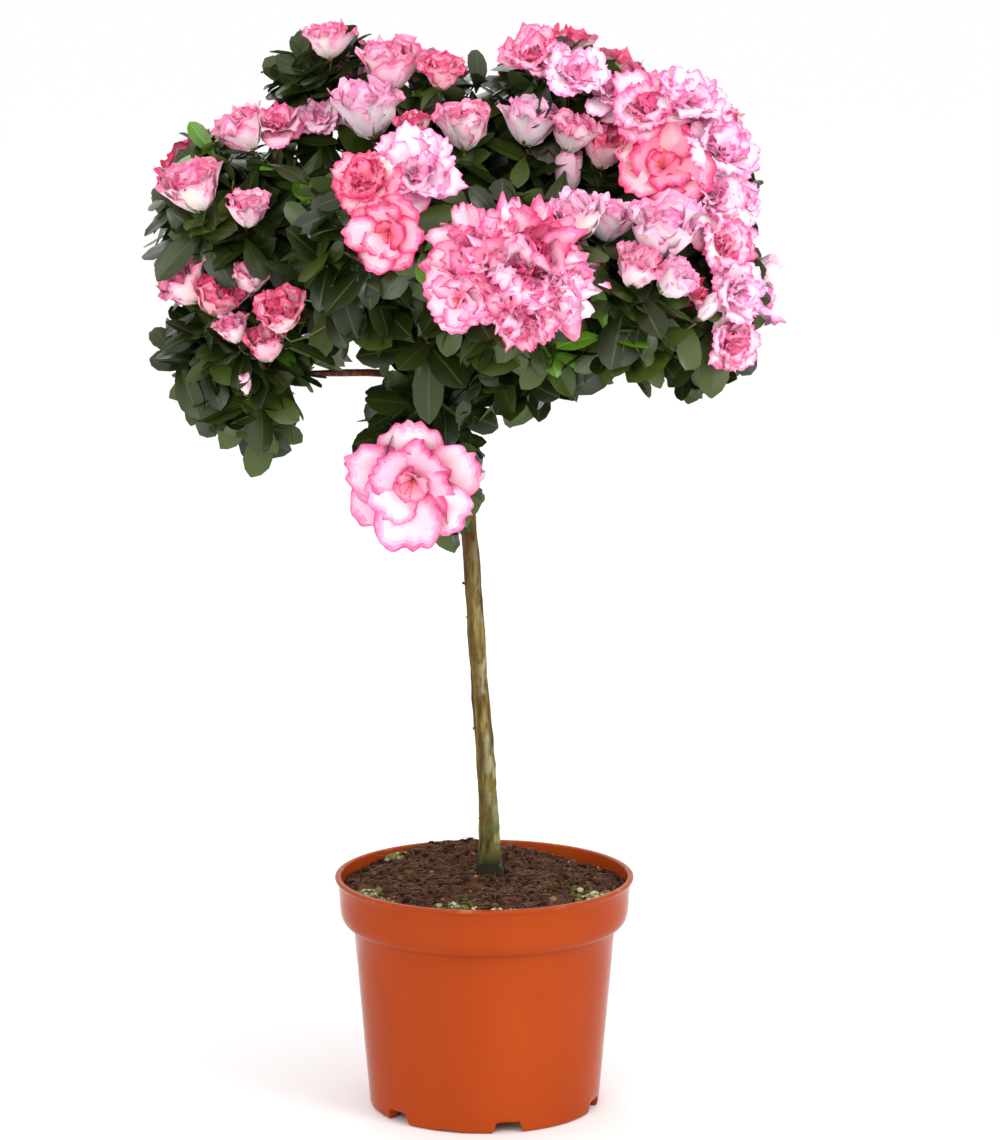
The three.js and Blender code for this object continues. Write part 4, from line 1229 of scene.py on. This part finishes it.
def whorl(tip, axis, size, low_only=False):
    """One shoot's leaves: stalk, heading, upper side, length, width, droop, fold and wave of each."""
    count = dice.integers(5, 7) if low_only else dice.integers(7, 10)
    spin = dice.uniform(0, 2 * math.pi)
    ahead = square_to(axis, np.array([1.0, 0.3, 0.1]))
    beside = np.cross(axis, ahead)
    rows = []
    for number in range(count):
        age = 1 - number / count  # 1 is the lowest and oldest leaf
        lean = math.radians((62 + 50 * age if low_only else 34 + 66 * age) + dice.normal(0, 9))
        turn = spin + number * GOLDEN_TURN
        out = math.cos(turn) * ahead + math.sin(turn) * beside
        heading = unit(math.sin(lean) * out + math.cos(lean) * axis - UP * 0.22 * age)
        upper = 0.8 * axis + 0.5 * UP - 0.2 * out + dice.normal(0, 0.18, 3)
        length = size * (21 + 22 * age ** 0.7) * dice.uniform(0.85, 1.15) * MM
        rows.append((tip - axis * (10 * age) * MM + heading * 1.2 * MM, heading, upper, length,
                     length * dice.uniform(0.40, 0.51), dice.uniform(0.05, 0.75),
                     dice.uniform(0.02, 0.45), dice.uniform(-0.05, 0.05)))
    return rows


leaf_rows, leaf_shade, leaf_by_hand = [], [], []
YOUNG_SHOOTS = 0.05
for group, low_only in ((shoots, False), (flower_shoots, True), (hand_shoots, False)):
    for place, (tip, axis, mass, size) in enumerate(group):
        young = dice.random() < YOUNG_SHOOTS
        if group is hand_shoots:
            young = hand_young[place]
        rows = whorl(tip, axis, size, low_only)
        leaf_rows += rows
        leaf_by_hand += [group is hand_shoots] * len(rows)
        base_shade = dice.choice(3, p=(0.42, 0.38, 0.20))
        for number in range(len(rows)):
            fresh = young and number > len(rows) * 0.55
            leaf_shade.append(YOUNG if fresh else min(2, max(0, base_shade + dice.choice((-1, 0, 1)))))
leaf_shade, leaf_by_hand = np.array(leaf_shade), np.array(leaf_by_hand)
leaf_table = [np.array([row[i] for row in leaf_rows]) for i in range(8)]


def outside_by(places):
    """How far places stick out of the crown's solids, below nought where they are inside."""
    out = np.empty(len(places))
    for number, place in enumerate(places):
        near, normal, _, distance = crown_tree.find_nearest(Vector(place))
        out[number] = distance if (Vector(place) - near).dot(normal) > 0 else -distance
    return out


STALK, HEADING, LENGTH = 0, 1, 3  # columns of the leaf table


def along_leaves(share):
    """The places on the leaves at a share of their length."""
    return leaf_table[STALK] + leaf_table[HEADING] * leaf_table[LENGTH][:, None] * share


LEAF_OVERHANG, MOST_PULLED = 2 * MM, 9 * MM
overhang = outside_by(along_leaves(1.0)) - LEAF_OVERHANG
leaf_table[STALK] = leaf_table[STALK] - leaf_table[HEADING] * np.clip(overhang, 0, MOST_PULLED)[:, None]

UNDERSIDE = np.array([  # how low the leaves hang, seen from the front: across and height in mm
    (-185, 438), (-160, 391), (-138, 380), (-127, 368), (-108, 376), (-97, 399), (-89, 413), (-74, 415),
    (-72, 370), (-58, 330), (-30, 323), (-4, 330), (3, 391), (10, 402), (38, 402), (60, 417), (76, 432),
    (92, 430), (110, 403), (128, 410), (158, 457),
]) * MM
UNDERSIDE_DEPTH = -30 * MM  # the upright plane that those heights are seen on
leaf_ends = along_leaves(1.0)
nearness = (UNDERSIDE_DEPTH - camera_at[1]) / (leaf_ends[:, 1] - camera_at[1])
seen = camera_at + (leaf_ends - camera_at) * nearness[:, None]
keep = (seen[:, 2] > np.interp(seen[:, 0], *UNDERSIDE.T)) | leaf_by_hand
CORE, FACE, SIGHT = 0.72, 0.80, 0.85  # how much of a flower's radius is kept free of leaves
IN_FRONT = 10 * MM
for number, (middle, axis, radius) in enumerate(zip(flower_middles, flower_axes, flower_radii)):
    for probe in (along_leaves(0.6), leaf_ends):
        apart = probe - middle
        distance = np.linalg.norm(apart, axis=1)
        ahead = apart @ axis
        aside = np.linalg.norm(apart - ahead[:, None] * axis, axis=1)
        keep &= ~(distance < CORE * radius)
        before_face = (ahead > 0) & (aside < FACE * radius) & (distance < 2.2 * radius + IN_FRONT)
        keep &= ~before_face | leaf_by_hand
        if number < listed:
            sight = unit(camera_at - middle)
            nearer = apart @ sight
            off_sight = np.linalg.norm(apart - nearer[:, None] * sight, axis=1)
            keep &= ~((nearer > -2 * MM) & (off_sight < SIGHT * radius)) | leaf_by_hand
leaf_table = [column[keep] for column in leaf_table]
leaf_shade = leaf_shade[keep]
LEAF_TRIANGLES = 2 * (len(LEAF_ALONG) - 1) * (len(TOP_ACROSS) + len(BACK_ACROSS) - 2)
share = MOST_TRIANGLES // LEAF_TRIANGLES
order = np.argsort(leaf_table[STALK][:, 0], kind="stable")
for first in range(0, len(order), share):
    part = order[first:first + share]
    leaf_piece(f"leaves_{first // share + 1}", [column[part] for column in leaf_table], leaf_shade[part])
print(len(order), "leaves")

# %% [markdown]
# ## Twigs
# Between the boughs and the shoot tips the wood forks again and again, thinner each time. The rule
# is simple: aim at the middle of all the tips still to be reached, go part of the way, share the tips
# out among two to four new limbs, and repeat until each limb has one tip of its own.

# %% Branching rule
twig_paths, twig_radii = [], []
THINNEST = 0.55 * MM


def twig(start, heading, end, arrival, thick, thin):
    """A smooth curve that leaves along one heading and arrives along another."""
    reach = np.linalg.norm(end - start)
    a, b = start + heading * reach * 0.35, end - arrival * reach * 0.35
    t = np.linspace(0, 1, THREAD_STATIONS)[:, None]
    twig_paths.append((1 - t) ** 3 * start + 3 * (1 - t) ** 2 * t * a
                      + 3 * (1 - t) * t ** 2 * b + t ** 3 * end)
    twig_radii.append(np.linspace(thick, thin, THREAD_STATIONS))


def share_out(places, groups):
    """Sorts places into groups of near neighbours by a few rounds of k-means."""
    middles = places[dice.choice(len(places), groups, replace=False)]
    for _ in range(6):
        nearest = np.linalg.norm(places[:, None] - middles[None], axis=2).argmin(1)
        middles = np.array([places[nearest == g].mean(0) if (nearest == g).any() else middles[g]
                            for g in range(groups)])
    return nearest


def grow(start, heading, radius, places, arrivals):
    if len(places) == 1:
        twig(start, heading, places[0], arrivals[0], radius, max(THINNEST, radius * 0.6))
        return
    middle = places.mean(0)
    knot = start + (middle - start) * dice.uniform(0.35, 0.55) + dice.normal(0, 2.5, 3) * MM
    onward = unit(middle - start + dice.normal(0, 4, 3) * MM)
    twig(start, heading, knot, onward, radius, radius * 0.9)
    groups = 2 if len(places) < 6 else (3 if len(places) < 14 else 4)
    nearest = share_out(places, groups)
    for g in range(groups):
        members = nearest == g
        if members.any():
            thin = max(THINNEST, radius * 0.9 * (members.sum() / len(places)) ** 0.42)
            grow(knot, onward, thin, places[members], arrivals[members])


for mass in MASSES:
    own = [shoot for shoot in shoots + flower_shoots + hand_shoots if shoot[2] == mass]
    hub, heading, radius = mass_roots[mass]
    grow(hub, heading, radius, np.array([s[0] for s in own]), np.array([s[1] for s in own]))
TWIG_SIDES = 5
twig_points, twig_faces = tubes(np.array(twig_paths), np.array(twig_radii), TWIG_SIDES)
TWIG_SHADES = (("brown", "4a2a1a"), ("red", "6b3522"), ("green", "5f6a2c"))
twig_finishes = [plain("twig_" + shade, code, 0.6) for shade, code in TWIG_SHADES]
thin_end = np.array([radii[-1] < 0.7 * MM for radii in twig_radii])
any_shade = dice.choice(3, len(thin_end), p=(0.3, 0.4, 0.3))
woody_shade = dice.choice(2, len(thin_end))
twig_number = np.where(thin_end, any_shade, woody_shade)
walls_number = np.repeat(twig_number, (THREAD_STATIONS - 1) * TWIG_SIDES)
joined_piece("twigs", twig_points, [(twig_faces[0], walls_number), (twig_faces[1], twig_number),
                                    (twig_faces[2], twig_number)], twig_finishes, MASSES)
